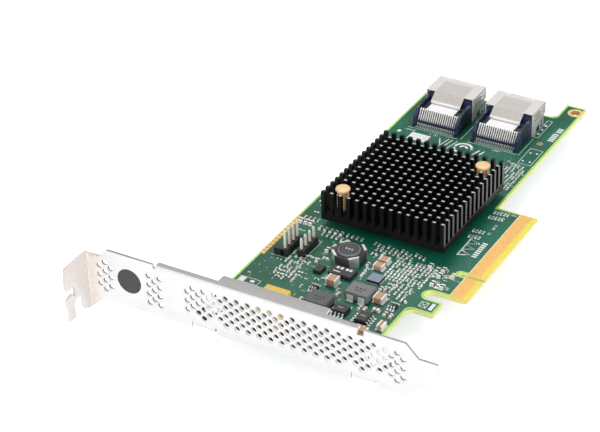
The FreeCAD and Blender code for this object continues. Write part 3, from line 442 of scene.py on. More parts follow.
def plate(outlines, thick, edge):
    """A flat plate of closed outlines, in the XY plane from 0 to its thickness, with softened edges."""
    curve = bpy.data.curves.new("plate", "CURVE")
    curve.dimensions = "2D"
    curve.fill_mode = "BOTH"
    curve.extrude = thick / 2 - edge
    curve.bevel_depth = edge
    curve.bevel_resolution = 1
    curve.offset = -edge
    for outline in outlines:
        line = curve.splines.new("POLY")
        line.points.add(len(outline) - 1)
        for point, (u, v) in zip(line.points, outline):
            point.co = (u, v, 0, 1)
        line.use_cyclic_u = True
    thing = bpy.data.objects.new("plate", curve)
    bpy.context.scene.collection.objects.link(thing)
    mesh = bpy.data.meshes.new_from_object(thing.evaluated_get(bpy.context.evaluated_depsgraph_get()))
    bpy.data.objects.remove(thing)
    bpy.data.curves.remove(curve)
    mesh.transform(Matrix.Translation((0, 0, thick / 2)))
    work = bmesh.new()
    work.from_mesh(mesh)
    bmesh.ops.remove_doubles(work, verts=work.verts, dist=0.0005)
    work.to_mesh(mesh)
    work.free()
    shape = Shape().add([v.co for v in mesh.vertices], [tuple(p.vertices) for p in mesh.polygons])
    bpy.data.meshes.remove(mesh)
    return shape


# Bracket: face, flange, lip and tabs of one bent sheet

def vent_places():
    """Middles of the ventilation holes: the wide field, then a row each of the two small ones."""
    spots = []
    for row in range(7):
        for step in range(-7, 32):
            if (step + row) % 2 or (row == 6 and (step < -4 or step in (-2, 22, 26, 28))):
                continue
            spots.append((50.22 + 1.896 * step, 14.1 - 1.597 * row))
    for row in range(7):
        pair, single = (-1, 1), (0,)
        spots += [(7.4 + 2.0 * column, 13.5 - 1.615 * row) for column in (pair if row % 2 else single)]
        spots += [(25.2 + 1.9 * column, 13.7 - 1.6 * row) for column in (single if row % 2 else pair)]
    return spots


def bend_profile(outer, middle, end, steps=6):
    """Outer and inner side of a bend of the sheet, from its left to an end angle in degrees."""
    ring, back = (arc(*middle, radius, 180, end, steps) for radius in (outer, outer - SHEET))
    return ring, back[::-1]


def make_bracket():
    bend, height, lift = 1.0, 18.42, 0.52
    tabs = ((39.0, 46.1), (92.95, 100.05))
    outline = [(0.86, 15.4), (5.5, 15.4), (8.52, height), (25.2, height), (25.2, 17.32), (26.2, 17.32),
               (26.2, height - bend), (94.3, height - bend), (94.3, 16.32), (96.5, 16.32),
               (96.5, height), (109.83, height), (113.95, 14.3), (120.02, 14.3), (120.02, 4.12),
               (113.95, 4.12), (109.83, 0.0)]
    for left, right in reversed(tabs):
        outline += [(right + 0.8, 0.0), (right + 0.8, 2.2), (right, 2.2), (right, lift + bend),
                    (left, lift + bend), (left, 2.2), (left - 0.8, 2.2), (left - 0.8, 0.0)]
    outline += [(6.2, 0.0), (0.86, -4.95)]
    holes = [circle(x, z, 1.0, 28) for x, z in vent_places()]
    shape = Shape().join(plate([outline] + holes, SHEET, 0.07), lambda p: (p.x, p.z, p.y))

    ring, back = bend_profile(bend, (bend, height - bend), 90)
    for low, high, reach in ((26.2, 47.0, 2.1), (47.0, 83.0, 5.1), (83.0, 94.3, 2.1)):
        shape.prism(ring + [(reach, height), (reach, height - SHEET)] + back, "x", low, high)
    ring, back = bend_profile(bend, (bend, lift + bend), 270)
    for left, right in tabs:
        shape.prism(ring + [(9.4, lift), (9.4, lift + SHEET)] + back, "x", left, right)

    # Flange: its outline is in Y and Z, with the screw notch open at the lower end
    flange = [(-0.1, 15.4), (-4.0, 15.55), (-10.5, 15.45), (-11.0, 15.1), (-11.43, 9.9), (-11.2, 8.0),
              (-10.6, 7.2), (-9.8, 7.0), (-7.4, 7.1), (-7.0, 6.7), (-7.0, 3.9), (-7.4, 3.8), (-8.1, 4.9),
              (-8.8, 5.2), (-10.4, 4.6), (-11.3, 3.9), (-11.43, 3.0), (-11.0, -3.4), (-10.6, -4.05),
              (-7.9, -4.1), (-7.43, -3.7)] + arc(-5.48, 0.35, 1.95, 180, 0, 10) + \
             [(-3.53, -2.6), (-2.85, -3.7), (-1.2, -4.4), (-0.1, -4.9)]
    shape.join(plate([flange], SHEET, 0.08), lambda p: (p.z, p.x, p.y))
    ring, back = bend_profile(0.06 + SHEET, (0.92, -0.06), 90, 8)
    shape.prism(ring + back, "z", -4.95, 15.4)
    piece("bracket_sheet", shape, "nickel", "bracket", smooth=True)

    # Drawn rims that narrow the vents towards the back
    rims = Shape()
    for x, z in vent_places():
        rims.loft([[(u, y, v) for u, v in circle(x, z, radius, 20)]
                   for radius, y in ((1.02, 0.06), (0.86, 0.84), (1.02, 0.84))], closed=True)
    piece("vent_rims", rims, "rim")
    roundel = Shape().prism(circle(16.3, 9.6, 4.25, 48), "y", -0.02, 0.02)
    piece("plain_roundel", roundel, "ink")


def make_fasteners():
    heads, hexes = Shape(), Shape(BOARD_TOP)
    for x in SCREWS_X:
        heads.turned(x, SCREWS_Y, [(1.1, 0.1), (1.1, -1.28), (2.2, -1.28), (2.7, -0.9), (2.75, 0.0),
                                   (2.75, 0.52)], 32)
        heads.turned(x, SCREWS_Y, [(1.5, 0.5), (1.5, 5.3), (1.2, 5.6)])
        hexes.join(plate([circle(x, SCREWS_Y, 3.17, 6), circle(x, SCREWS_Y, 1.5)], 2.2, 0.15))
    piece("pan_head_screws", heads, "screw", "bracket_screws", smooth=True)
    piece("hex_nuts", hexes, "screw", "bracket_nuts")


# Board details

def make_fingers():
    near = [47.25 + step for step in range(11)]
    rows = near + [near[-1] + 3.0 + step for step in range(38)]
    bevel, end = 105.15, 106.25
    for side, flat, way in (("top", BOARD_TOP, 1), ("bottom", BOARD_UNDER, -1)):
        fall = 0.4 * way * (end - bevel) / 1.3

        def profile(start, thick):
            rise = thick * way
            return [(start, 0), (bevel, 0), (end, -fall), (end, rise - fall), (bevel, rise), (start, rise)]

        pads, between = Shape(flat), Shape(flat)
        for y in rows:
            pads.prism(profile(100.4, 0.05), "y", *around(y, 0.37))
        for low, high in ((46.55, 57.5), (59.6, 97.6)):
            between.prism(profile(100.5, 0.015), "y", low, high)
        piece("edge_contact_pads_" + side, pads, "pads", "edge_contacts_" + side)
        piece("edge_contact_gaps_" + side, between, "between")


def flat_patch(shape, x, y):
    shape.box(x, y, (0, 0.024))


def strip_line(shape, path, width):
    """A flat line of one width along a path on the board, each stretch a hair above or below the next."""
    for number, (start, end) in enumerate(zip(path, path[1:])):
        a, b = Vector(start), Vector(end)
        along = b - a
        if along.length < 1e-6:
            continue
        along = along.normalized() * width / 2
        side = Vector((-along.y, along.x))
        a, b = a - along, b + along
        ring = [tuple(p) for p in (a - side, b - side, b + side, a + side)]
        shape.prism(ring, "z", 0, 0.015 + 0.004 * (number % 3))


def box_line(shape, x, y, width):
    ring = rectangle(x, y)
    strip_line(shape, ring + ring[:1], width)


def inside_path(points, inset):
    """The closed path of an outline moved inward, for an outline that runs anticlockwise."""
    moved = []
    count = len(points)
    for index in range(count):
        a, b, c = (Vector(points[(index + shift) % count]) for shift in (-1, 0, 1))
        first, second = (b - a).normalized(), (c - b).normalized()
        normal = Vector((-first.y - second.y, first.x + second.x)).normalized()
        stretch = max(0.4, normal.dot(Vector((-first.y, first.x))))
        moved.append(tuple(b + normal * inset / stretch))
    return moved


def board_outline():
    """The cut edge of the board, anticlockwise from its near left corner."""
    return [(37.55, 1.3), (100.5, 1.3), (100.5, 9.5), (92.4, 9.5)] + arc(94.0, 33.8, 1.6, 180, 90, 6) + \
        [(100.5, 35.4), (100.5, 42.0)] + arc(95.5, 44.2, 2.2, 270, 90, 10) + \
        [(106.45, 46.4), (106.45, 57.6)] + arc(98.45, 58.55, 0.95, 270, 90, 8) + \
        [(106.45, 59.5), (106.45, 97.7), (92.4, 97.7), (92.4, 168.95), (85.2, 168.95)] + \
        arc(83.6, 160.5, 1.6, 0, -90, 6) + [(37.55, 158.9)]


def make_margins():
    """The copper-free margin along the cut edge, where pale laminate shows through the lacquer."""
    margin = Shape(BOARD_TOP)
    outline = board_outline()
    outer, inner = inside_path(outline, 0.02), inside_path(outline, 0.75)
    for index in range(len(outline)):
        following = (index + 1) % len(outline)
        # None behind the bracket, and none on the bevel of the edge connector
        if index == 0 or min(outline[index][0], outline[following][0]) > 106:
            continue
        margin.prism([outer[index], outer[following], inner[following], inner[index]], "z", 0, 0.01)
    piece("bare_margins", margin, "margin")


def make_tracks():
    """Covered copper tracks: pairs from the controller to the ports and to the edge connector."""
    rng = random.Random(11)

    def stray_line(shape, x, y, lengths, width, nearest):
        length = rng.uniform(*lengths)
        way = rng.choice([(1, 0), (0, 1), (0.7, 0.7), (-0.7, 0.7)])
        end = (x + way[0] * length, y + way[1] * length)
        if 38.5 < end[0] < 91.5 and nearest < end[1] < 158.0:
            strip_line(shape, [(x, y), end], width)

    tracks = Shape(BOARD_TOP)
    for group, (_, centre) in enumerate(PORTS):
        for lane in range(8):
            end = centre - 5.6 + lane * 1.6
            start = 60.0 + (end - 60.0) * 0.45 + group * 3
            bend = 112.0 + abs(end - start) * 0.9 + lane * 0.3
            for half in (-0.22, 0.22):
                strip_line(tracks, [(start + half, 106.0), (start + half, bend - abs(end - start)),
                                    (end + half, bend), (end + half, 131.5)], 0.17)
    for lane in range(16):
        end, start = 61.0 + lane * 2.0, 76.0 + lane * 1.1
        for half in (-0.22, 0.22):
            strip_line(tracks, [(90.0, start + half), (91.0, start + half),
                                (91.0 + abs(end - start) * 0.6, end + half), (100.2, end + half)], 0.17)
    # Slow signals: bundles that run along the left side and to the headers
    for line in range(14):
        x, fall = 39.8 + line * 0.42, line * 0.8
        strip_line(tracks, [(x, 70.0 + line), (x, 128.0 - fall), (x + 4.0, 132.0 - fall)], 0.16)
    for line in range(9):
        y = 66.0 - line * 0.55
        strip_line(tracks, [(44.0, y), (60.0 - line * 0.4, y)], 0.15)
    for _ in range(150):
        x = rng.uniform(40.0, 91.0)
        y = rng.choice([rng.uniform(18.0, 62.0), rng.uniform(108.0, 158.0)])
        stray_line(tracks, x, y, (1.5, 6.0), 0.14, 18.0)
    piece("board_tracks", tracks, "track")

    under = Shape(BOARD_UNDER - 0.015)
    for _ in range(60):
        x, y = rng.uniform(40.0, 90.0), rng.uniform(14.0, 150.0)
        stray_line(under, x, y, (4.0, 18.0), 0.16, 12.0)
    piece("board_tracks_under", under, "track")


# Small chips: length, width and height of each size, and their bodies: d dark, t tan, . bare pads only
CHIP_SIZES = {"tiny": (1.15, 0.5, 0.35), "small": (1.7, 0.85, 0.5), "middle": (2.0, 1.25, 0.8)}

# Rows along the near edge of the heat sink: count, X, step, Y, shift in Y, turns of the shift, size, bodies
CHIP_ROWS = (
    (5, 47.8, 1.9, 61.0, 0.0, 1, "small", "d"),
    (4, 57.6, 1.7, 61.2, 0.0, 1, "tiny", "d"),
    (12, 67.4, 1.6, 61.4, -0.5, 3, "tiny", ".ddd"),
    (6, 50.2, 1.7, 58.4, 0.0, 1, "tiny", "ddtddd"),
    (9, 69.4, 1.5, 58.6, 0.4, 2, "tiny", ".d"),
)

# Single chips: X, Y, size, along Y or not, body
SINGLE_CHIPS = (
    (56.0, 44.5, "small", 1, "d"), (57.8, 46.5, "small", 0, "t"), (56.2, 50.8, "middle", 1, "d"),
    (57.4, 54.2, "small", 0, "t"), (60.8, 35.6, "tiny", 0, "d"), (62.6, 36.8, "tiny", 0, "t"),
    (70.5, 31.5, "small", 1, "t"), (69.2, 33.6, "tiny", 1, "d"), (80.8, 40.0, "small", 1, "d"),
    (72.2, 44.0, "small", 1, "t"), (72.0, 46.8, "small", 1, "d"), (71.0, 49.8, "small", 1, "d"),
    (79.8, 28.2, "small", 1, "d"), (81.4, 28.4, "small", 1, "t"), (84.8, 29.2, "middle", 0, "t"),
    (88.0, 29.0, "small", 1, "d"), (90.0, 28.8, "small", 1, "t"), (89.8, 37.2, "small", 0, "d"),
    (60.2, 22.0, "small", 1, "d"), (61.8, 24.0, "small", 1, "t"), (58.0, 20.0, "small", 0, "d"),
    (70.0, 55.6, "small", 0, "d"), (72.6, 56.6, "small", 1, "t"), (58.4, 30.2, "tiny", 1, "d"),
    (40.6, 100.0, "small", 1, "d"), (42.4, 103.0, "small", 0, "t"), (41.0, 112.0, "small", 1, "d"),
)


def make_small_chips():
    rng = random.Random(5)
    dark, tan, ends, pads = (Shape(BOARD_TOP) for _ in range(4))
    solder, gap = 0.04, 0.03

    def chip(x, y, kind, turned, body):
        length, width, high = CHIP_SIZES[kind]
        half, inner = length / 2, length / 2 - length * 0.32

        def part(shape, low, high_, wide, top):
            spans = [(low, high_), (-wide, wide)]
            if turned:
                spans.reverse()
            shape.box(*[(middle + a, middle + b) for middle, (a, b) in zip((x, y), spans)], (0, top))

        part(pads, -half - 0.3, -inner, width / 2 + 0.08, solder)
        part(pads, inner, half + 0.3, width / 2 + 0.08, solder)
        if body != ".":
            part(dark if body == "d" else tan, -inner, inner, width / 2, gap + high)
            part(ends, -half, -inner, width / 2 + 0.02, gap + high + 0.02)
            part(ends, inner, half, width / 2 + 0.02, gap + high + 0.02)

    for count, x, step, y, shift, turns, kind, bodies in CHIP_ROWS:
        for number in range(count):
            chip(x + number * step, y + number % turns * shift, kind, True, bodies[number % len(bodies)])
    # Left of the heat sink
    for column in range(4):
        for row in range(7):
            if rng.random() < 0.7:
                chip(40.4 + column * 1.6, 64.6 + row * 2.1, "tiny", row % 3 == 0, rng.choice("ddt."))
    # Three coupling chips at the left edge
    for x in (40.5, 42.3, 44.0):
        chip(x, 61.8, "middle", True, "d")
    # Fields of small chips beside the headers and around the regulators
    for column in range(5):
        for row in range(9):
            if rng.random() < 0.78:
                chip(47.4 + column * 1.75 + rng.uniform(-0.1, 0.1), 31.5 + row * 1.75, "tiny",
                     rng.random() < 0.5, rng.choice("dtt."))
    for column in range(11):
        for row in range(7):
            if rng.random() < 0.88:
                chip(78.2 + column * 1.25, 46.4 + row * 1.75, "tiny", True, rng.choice("dd."))
    for column in range(5):
        for row in range(4):
            if rng.random() < 0.85:
                chip(82.0 + column * 1.75, 38.5 + row * 1.7, "tiny", rng.random() < 0.5, rng.choice("dt."))
    for single in SINGLE_CHIPS:
        chip(*single)
    # Right of the heat sink and between the sink and the ports
    for row in range(7):
        for column in range(7):
            if rng.random() < 0.8:
                chip(83.0 + column * 1.2 + rng.uniform(-0.15, 0.15), 109.8 + row * 2.3, "tiny", True,
                     rng.choice("d.."))
    for column in range(10):
        chip(58.0 + column * 2.4, 110.2 + column % 2 * 1.2, "tiny", True, rng.choice("dt."))
    for number in range(6):
        chip(84.0 + number % 3 * 1.7, 42.6 + number // 3 * 1.9, "tiny", True, rng.choice("d."))
    for x, y, count in ((91.3, 82.2, 4), (91.5, 78.8, 4), (92.8, 94.8, 5), (92.4, 91.6, 5)):
        for number in range(count):
            chip(x + number * 1.1, y + number * 0.1, "tiny", True, "d."[number % 2])
    for x, y, body in ((88.6, 57.8, "d"), (91.0, 57.6, "."), (93.2, 57.6, "d"), (91.4, 54.4, "."),
                       (93.3, 54.4, "d"), (93.4, 49.6, "d"), (95.1, 49.4, "."), (96.8, 49.2, "d"),
                       (97.2, 55.9, "t")):
        chip(x, y, "middle", True, body)
    piece("small_resistors", dark, "resin")
    piece("small_capacitors", tan, "ceramic")
    piece("small_chip_ends", ends, "tin")
    piece("small_pads", pads, "tin")

    below, below_ends = Shape(BOARD_UNDER), Shape(BOARD_UNDER)
    for column in range(9):
        for row in range(9):
            if (column + row) % 2 or rng.random() < 0.3:
                continue
            x, y = 58.5 + column * 2.5, 75.0 + row * 2.5
            below.block(x, y, 0.5, 0.5, (-0.5, 0))
            for side in (-1, 1):
                below_ends.block(x + side * 0.38, y, 0.26, 0.54, (-0.52, 0))
    piece("under_capacitors", below, "ceramic")
    piece("under_capacitor_ends", below_ends, "tin")


def bar_text(shape, x, y, count, height, rng, pitch, turned=False):
    """A row of short bars of uneven height where small printing sits; it spells nothing."""
    for number in range(count):
        if rng.random() < 0.16:
            continue
        along = number * pitch
        tall, wide = height * rng.uniform(0.75, 1.0), pitch * 0.42
        if turned:
            shape.box((x, x + tall), (y + along, y + along + wide), (0, 0.014))
        else:
            shape.box((x + along, x + along + wide), (y, y + tall), (0, 0.014))


# Printed lines of the board: width, then the points; outlines beside headers and ports, then plain marks
PRINTED_LINES = (
    (0.16, (41.2, 41.4), (47.2, 41.4), (47.2, 53.0)),
    (0.16, (48.4, 43.2), (52.0, 43.2), (52.0, 54.4), (48.4, 54.4)),
    (0.2, (62.8, 131.0), (62.8, 141.8)),
    (0.2, (84.4, 131.0), (84.4, 142.6)),
    (0.18, (43.0, 130.6), (61.6, 130.6)),
    (0.18, (65.4, 130.6), (84.4, 130.6)),
    (0.18, (94.6, 37.4), (97.0, 40.2)),
    (0.18, (97.0, 37.4), (94.6, 40.2)),
    (0.4, (56.2, 128.4), (58.0, 124.6)),
)
# Printed frames: X, Y, width; two place frames, the row of dots beside port two and the mark on the wing
PRINTED_FRAMES = (
    ((39.2, 46.2), (24.1, 26.8), 0.18), ((86.2, 90.8), (126.0, 136.4), 0.17),
    ((83.75, 85.5), (143.8, 155.8), 0.17), ((94.6, 97.0), (37.4, 40.2), 0.2),
)
PRINTED_PATCHES = (
    ((39.4, 41.4), (24.3, 26.6)), ((43.2, 44.6), (24.9, 26.0)), ((46.0, 53.0), (123.4, 128.0)),
    ((41.0, 42.2), (126.0, 127.4)), ((98.0, 99.2), (37.0, 40.6)),
)
# Rows of bars: X, Y, count
BAR_ROWS = (
    (83.0, 108.2, 6), (60.0, 113.6, 7), (43.0, 128.6, 6), (52.0, 129.0, 5), (75.0, 129.2, 5), (42.0, 57.0, 4),
    (44.2, 39.6, 4), (56.0, 34.0, 4), (66.0, 45.6, 4), (80.5, 38.0, 3), (96.9, 95.5, 5), (84.0, 124.5, 5),
    (40.0, 29.0, 3), (39.8, 22.0, 5),
)


def make_print():
    white = Shape(BOARD_TOP)
    rng = random.Random(3)
    for x, y, count in BAR_ROWS:
        bar_text(white, x, y, count, 0.9, rng, 0.62)
    bar_text(white, 96.0, 82.3, 8, 1.0, rng, 0.8, True)
    for x, y, count, pitch, wide in ((89.0, 143.6, 5, 1.15, 2.1), (89.3, 149.9, 3, 1.1, 1.9),
                                     (97.0, 68.6, 8, 1.15, 1.7)):
        for number in range(count):
            low = y + number * pitch
            flat_patch(white, (x, x + wide), (low, low + pitch * 0.62))
    for width, *path in PRINTED_LINES:
        strip_line(white, path, width)
    for x, y, width in PRINTED_FRAMES:
        box_line(white, x, y, width)
    for x, y in PRINTED_PATCHES:
        flat_patch(white, x, y)
    for x, y in ((87.2, 128.0), (89.6, 128.2), (87.4, 133.6), (89.6, 134.0)):
        flat_patch(white, around(x, 0.35), around(y, 0.35))
    for y in (146.3, 149.4, 152.3):
        flat_patch(white, (84.15, 84.95), around(y, 0.45))
    # Plain angular mark beside the edge connector
    for y in (67.8, 71.2, 74.6):
        strip_line(white, [(92.7, y), (96.2, y + 1.5), (92.7, y + 2.9), (92.7, y)], 0.5)
    # Arc-shaped mark between the heat sink and the ports, with strokes on both sides
    for first, last, radius in ((10, 170, 3.0), (200, 245, 3.0), (30, 150, 1.3)):
        strip_line(white, arc(66.0, 126.1, radius, first, last), 0.85)
    for x in (70.6, 72.4):
        strip_line(white, [(x, 123.8), (x + 1.0, 127.0)], 0.6)
    for x in (58.0, 59.4, 61.2):
        strip_line(white, [(x, 123.6), (x + 1.2, 129.2)], 0.3)
    # Corner ticks and short dashes in the chip fields
    zones = [(55.0, 91.0, 17.0, 60.0), (46.0, 56.0, 28.0, 60.0), (82.0, 92.0, 106.5, 126.0),
             (92.4, 99.0, 47.5, 60.0), (56.0, 91.0, 36.0, 60.0)]
    for _ in range(120):
        left, right, near, far = rng.choice(zones)
        x, y = rng.uniform(left, right), rng.uniform(near, far)
        long = rng.uniform(0.5, 1.5)
        if x + 1.5 > 91.8 and y < 46.5:
            continue
        end = (x + long, y) if rng.random() < 0.5 else (x, y + long)
        strip_line(white, [(x, y), end], 0.16)
    piece("board_print", white, "print")

    labels = Shape(BOARD_UNDER)
    for x, y, wide, deep in ((45.0, 118.0, 14.0, 5.0), (64.0, 122.0, 9.0, 9.0)):
        labels.box((x, x + wide), (y, y + deep), (-0.03, 0))
    piece("plain_labels_under", labels, "white")


def flat_ring(x, y, radii, steps, level, thick, edge=0.004):
    return Shape(level).join(plate([circle(x, y, radius, steps) for radius in radii], thick, edge))


def make_rings():
    """Plated rings round the ear hole, a small via ring, a bare spot and vias."""
    ear = (90.0, 164.9)
    rings = Shape()
    for level in (BOARD_TOP, BOARD_UNDER - 0.05):
        rings.join(flat_ring(*ear, (2.65, 1.62), 40, level, 0.05))
    lining = flat_ring(*ear, (1.66, 1.58), 40, BOARD_UNDER + 0.03, 1.5)
    piece("ear_hole_lining", lining, "lining")
    rings.join(flat_ring(95.5, 55.4, (0.95, 0.5), 24, BOARD_TOP, 0.04))
    piece("plated_rings", rings, "gold")

    dots = Shape(BOARD_TOP)
    dots.turned(87.7, 140.5, [(1.15, 0), (1.15, 0.02)], 28)
    rng = random.Random(8)
    for _ in range(260):
        x, y = rng.uniform(39.5, 91.5), rng.choice([rng.uniform(14.0, 61.0), rng.uniform(108.0, 157.0)])
        dots.turned(x, y, [(0.17, 0), (0.17, 0.016)], 8)
    for x, y in ((41.5, 28.0), (41.0, 34.5), (41.5, 37.0), (44.0, 34.0), (43.4, 31.0), (42.4, 39.6)):
        dots.turned(x, y, [(0.3, 0), (0.3, 0.018)], 12)
    piece("bare_dots", dots, "copper")


# Heat sink fixings

def make_push_pins():
    pins, coils = Shape(), Shape()
    turns, steps = 6.0, 120
    for way in (-1, 1):
        x, y = (middle + way * PUSH_PIN_REACH for middle in SINK)
        pins.turned(x, y, [(1.9, 14.4), (2.3, 14.45), (2.42, 14.7), (2.42, 15.0), (2.25, 15.25),
                           (1.5, 15.38), (0.5, 15.4)], 32)
        pins.turned(x, y, [(0.8, 1.0), (0.8, 14.45)], 20)
        pins.turned(x, y, [(0.55, -0.5), (1.2, 0.1), (1.75, 1.0), (1.75, 1.22), (1.0, 1.25)], 20)
        path = []
        for step in range(steps + 1):
            part = step / steps
            angle = math.tau * turns * part
            path.append((x + 1.82 * math.cos(angle), y + 1.82 * math.sin(angle), 7.82 + 6.35 * part))
        coils.tube(path, 0.19, 6)
    piece("push_pins_moulded", pins, "nylon", "push_pins", smooth=True)
    piece("push_pin_coils", coils, "nylon", "push_pin_springs", smooth=True)


# Ports: near and far end, half width, sheet and height above the board of their shells
NEAR, FAR = 143.6, 154.1
HALF, THIN, TOP = 8.85, 0.3, 8.45
SLOT = (2.9, 4.1)


def make_port_shell(name, centre):
    shell = Shape(BOARD_TOP)
    # Sloping rear tongue with an upright edge, and the flat roof
    shell.prism([(NEAR, TOP), (NEAR, TOP - THIN), (NEAR - 0.2, TOP - THIN - 0.05), (NEAR - 3.1, TOP - 2.5),
                 (NEAR - 3.1, TOP - 2.2), (NEAR - 0.1, TOP)], "x", *around(centre, 5.5))
    roof = plate([rectangle(around(centre, HALF), (NEAR, FAR))], THIN, 0.05)
    shell.join(roof, lambda p: (p.x, p.y, p.z + TOP - THIN))
    shell.box(around(centre, 5.5), (NEAR - 3.3, NEAR - 3.1), (TOP - 3.3, TOP - 2.2))
    # Raised ribs pressed into the roof near the mouth
    for x in (centre - 4.4, centre + 4.0):
        shell.prism([(FAR - 1.1, TOP - 0.02), (FAR - 0.85, TOP + 0.14), (FAR - 0.5, TOP + 0.14),
                     (FAR - 0.25, TOP - 0.02)], "x", *around(x, 1.6))
    # Walls with legs, a sloping lower edge and two long windows
    outline = [(NEAR, 0), (NEAR + 1.9, 0), (NEAR + 1.9, 0.85), (NEAR + 2.3, 1.0)]
    for leg in (2.7, 6.5, 8.7):
        rise = 0.85 + (leg - 1.9) * 3.6 / 8.9
        left, right = NEAR + leg - 0.4, NEAR + leg + 0.4
        outline += [(left, rise), (left, 0), (right, 0), (right, rise + 0.3)]
    outline += [(FAR, 4.45), (FAR, TOP - 0.1), (NEAR, TOP - 0.1)]
    windows = [rectangle((NEAR + 1.6, NEAR + 8.8), (level, level + 0.55)) for level in (TOP - 2.0, TOP - 3.5)]
    wall = plate([outline] + windows, THIN, 0.04)
    for left in (centre - HALF, centre + HALF - THIN):
        shell.join(wall, lambda p: (left + p.z, p.x, p.y))
    piece(name + "_cage", shell, "shell", name + "_shell")

    # Painted highlights: white strips on the pressed ribs and along the roof's edge at the mouth
    bright = Shape(BOARD_TOP)
    for x, reach in ((centre - 4.6, 1.1), (centre + 3.6, 1.6)):
        bright.box(around(x, reach), (FAR - 1.05, FAR - 0.75), (TOP, TOP + 0.16))
    bright.box(around(centre, HALF - 0.1), (FAR - 0.25, FAR - 0.05), (TOP, TOP + 0.03))
    piece(name + "_painted_roof_highlights", bright, "white")
    lip = Shape(BOARD_TOP).box(around(centre, 5.55), (NEAR - 3.45, NEAR - 3.05), (TOP - 2.75, TOP - 2.1))
    piece(name + "_tongue_lip", lip, "white", bevel=0.05)


def make_port_housing(name, centre):
    housing = Shape(BOARD_TOP)
    wide = HALF - THIN - 0.1
    back = TOP - 1.6
    arm = [(132.3, 0), (NEAR, 0), (NEAR, 6.3), (138.2, 6.3), (137.8, 6.0), (136.2, 6.1), (135.0, 5.6),
           (133.2, 4.3), (132.3, 3.6)]
    boss = Shape().turned(0, 0, [(0.75, 0), (0.75, 0.25), (0.55, 0.35)], 16)
    for side in (-1, 1):
        outer = centre + side * wide
        low, high = sorted((outer, outer - side * 1.1))
        housing.prism(arm, "x", low, high)
        # Round boss and foot at the front of the arm
        housing.join(boss, lambda p: (outer + side * p.z, 134.6 + p.x, 2.2 + p.y))
        housing.box((low, high), (131.6, 132.35), (0, 1.2))
    inside = around(centre, wide - 0.1)
    housing.box(inside, (132.65, 133.05), (1.15, 2.2))
    housing.box(inside, (135.8, NEAR - 0.05), (0, 4.6))
    housing.box(around(centre, wide), (NEAR, NEAR + 3.2), (0, back))
    # Ring of four walls round the slot of the mouth
    mouth = (NEAR + 3.2, FAR - 1.2)
    for x, z in (((-7.5, 7.5), (1.6, SLOT[0])), ((-7.5, 7.5), (SLOT[1], back)),
                 ((-7.5, -6.8), SLOT), ((6.8, 7.5), SLOT)):
        housing.box((centre + x[0], centre + x[1]), mouth, z)
    housing.prism([(135.6, 4.6), (135.0, 3.4), (134.9, 2.4), (135.9, 2.4), (135.9, 4.6)],
                  "x", *around(centre, wide - 1.1))
    piece(name + "_body", housing, "housing", name + "_housing", bevel=0.1)


def make_port_contacts(name, centre):
    """Blades in the slot of the mouth, bent blades from the white block down to their feet, and pads."""
    blades, rear, feet = Shape(BOARD_TOP), Shape(), Shape(BOARD_TOP)
    bent = ribbon([(135.9, 8.22), (135.5, 8.12), (135.15, 7.7), (134.7, 6.7), (134.0, 5.8), (133.6, 5.35),
                   (133.45, 4.7), (133.25, 4.1), (132.8, 3.35), (132.45, 3.08), (131.6, 3.05)], 0.1)
    for number in range(PORT_CONTACTS):
        x = centre - 6.8 + PORT_PITCH * number
        for z in ((SLOT[0], SLOT[0] + 0.12), (SLOT[1] - 0.12, SLOT[1])):
            blades.box(around(x, 0.17), (NEAR + 3.3, FAR - 1.4), z)
        rear.prism(bent, "x", *around(x, 0.2))
        feet.box(around(x, 0.22), (131.3, 132.8), (0, 0.04))
    piece(name + "_blades", blades, "contact")
    piece(name + "_rear_contacts", rear, "contact", name + "_contacts")
    block = Shape(BOARD_TOP).box(around(centre, 5.1), (135.95, 140.1), (4.6, 5.25))
    piece(name + "_white_block", block, "white", name + "_block", bevel=0.12, segments=2)
    piece(name + "_solder_pads", feet, "tin")


def make_headers():
    for name, x, first, tall in (("header_one", 45.25, 43.25, 8.55), ("header_two", 50.1, 45.0, 6.35)):
        pins, joints, base = Shape(), Shape(BOARD_UNDER), Shape(BOARD_TOP)
        top, low = BOARD_TOP + tall, BOARD_UNDER - 1.5
        half, tip = 0.32, 0.16
        for number in range(4):
            y = first + HEADER_PITCH * number
            pins.loft([[(a, b, z) for a, b in rectangle(around(x, size), around(y, size))]
                       for size, z in ((tip, low), (half, low + 0.4), (half, top - 0.5), (tip, top))])
            joints.turned(x, y, [(0.85, 0), (0.8, -0.15), (0.45, -0.75), (0.36, -0.95)], 16)
            base.prism(chamfered(x, y, 1.25, HEADER_PITCH / 2, 0.35), "z", 0, 2.35)
        if name == "header_one":
            base.box((x - 3.45, x), (first - 1.27, first + 1.13), (0, 2.2))
        piece(name + "_square_pins", pins, "pin", name + "_pins")
        piece(name + "_joints", joints, "tin", smooth=True)
        piece(name + "_strip", base, "header", name + "_base", bevel=0.08)


# Power parts

def make_inductors():
    clips = Shape(BOARD_TOP)
    high = 3.0
    for node, x, y, wide, deep in (("power_inductor_one", 68.2, 24.2, 7.6, 6.6),
                                   ("power_inductor_two", 77.1, 33.6, 7.8, 6.2)):
        body = Shape(BOARD_TOP).block(x, y, wide, deep, (0.25, high))
        piece(node + "_core", body, "powder", node, bevel=0.35, segments=3)
        marks = Shape(BOARD_TOP + high)
        for shift in (-1.5, -0.2, 1.1):
            marks.box((x + shift, x + shift + 0.75), (y - 0.3, y + 0.35), (0, 0.012))
        marks.box((x - 1.4, x + 1.4), (y - 1.35, y - 1.0), (0, 0.012))
        piece(node + "_marks", marks, "header")
        near, far = y - deep / 2, y + deep / 2
        for middle in around(x, wide / 4):
            clips.prism([(near - 0.25, 0), (near - 0.25, 1.9), (near - 0.1, 2.1), (near + 0.02, 2.1),
                         (near + 0.02, 0.26), (far, 0.26), (far, 0)], "x", *around(middle, 1.05))
            clips.block(middle, near - 0.5, 2.4, 0.7, (0, 0.12))
    piece("inductor_clips", clips, "tin", "power_inductor_clips", bevel=0.05)


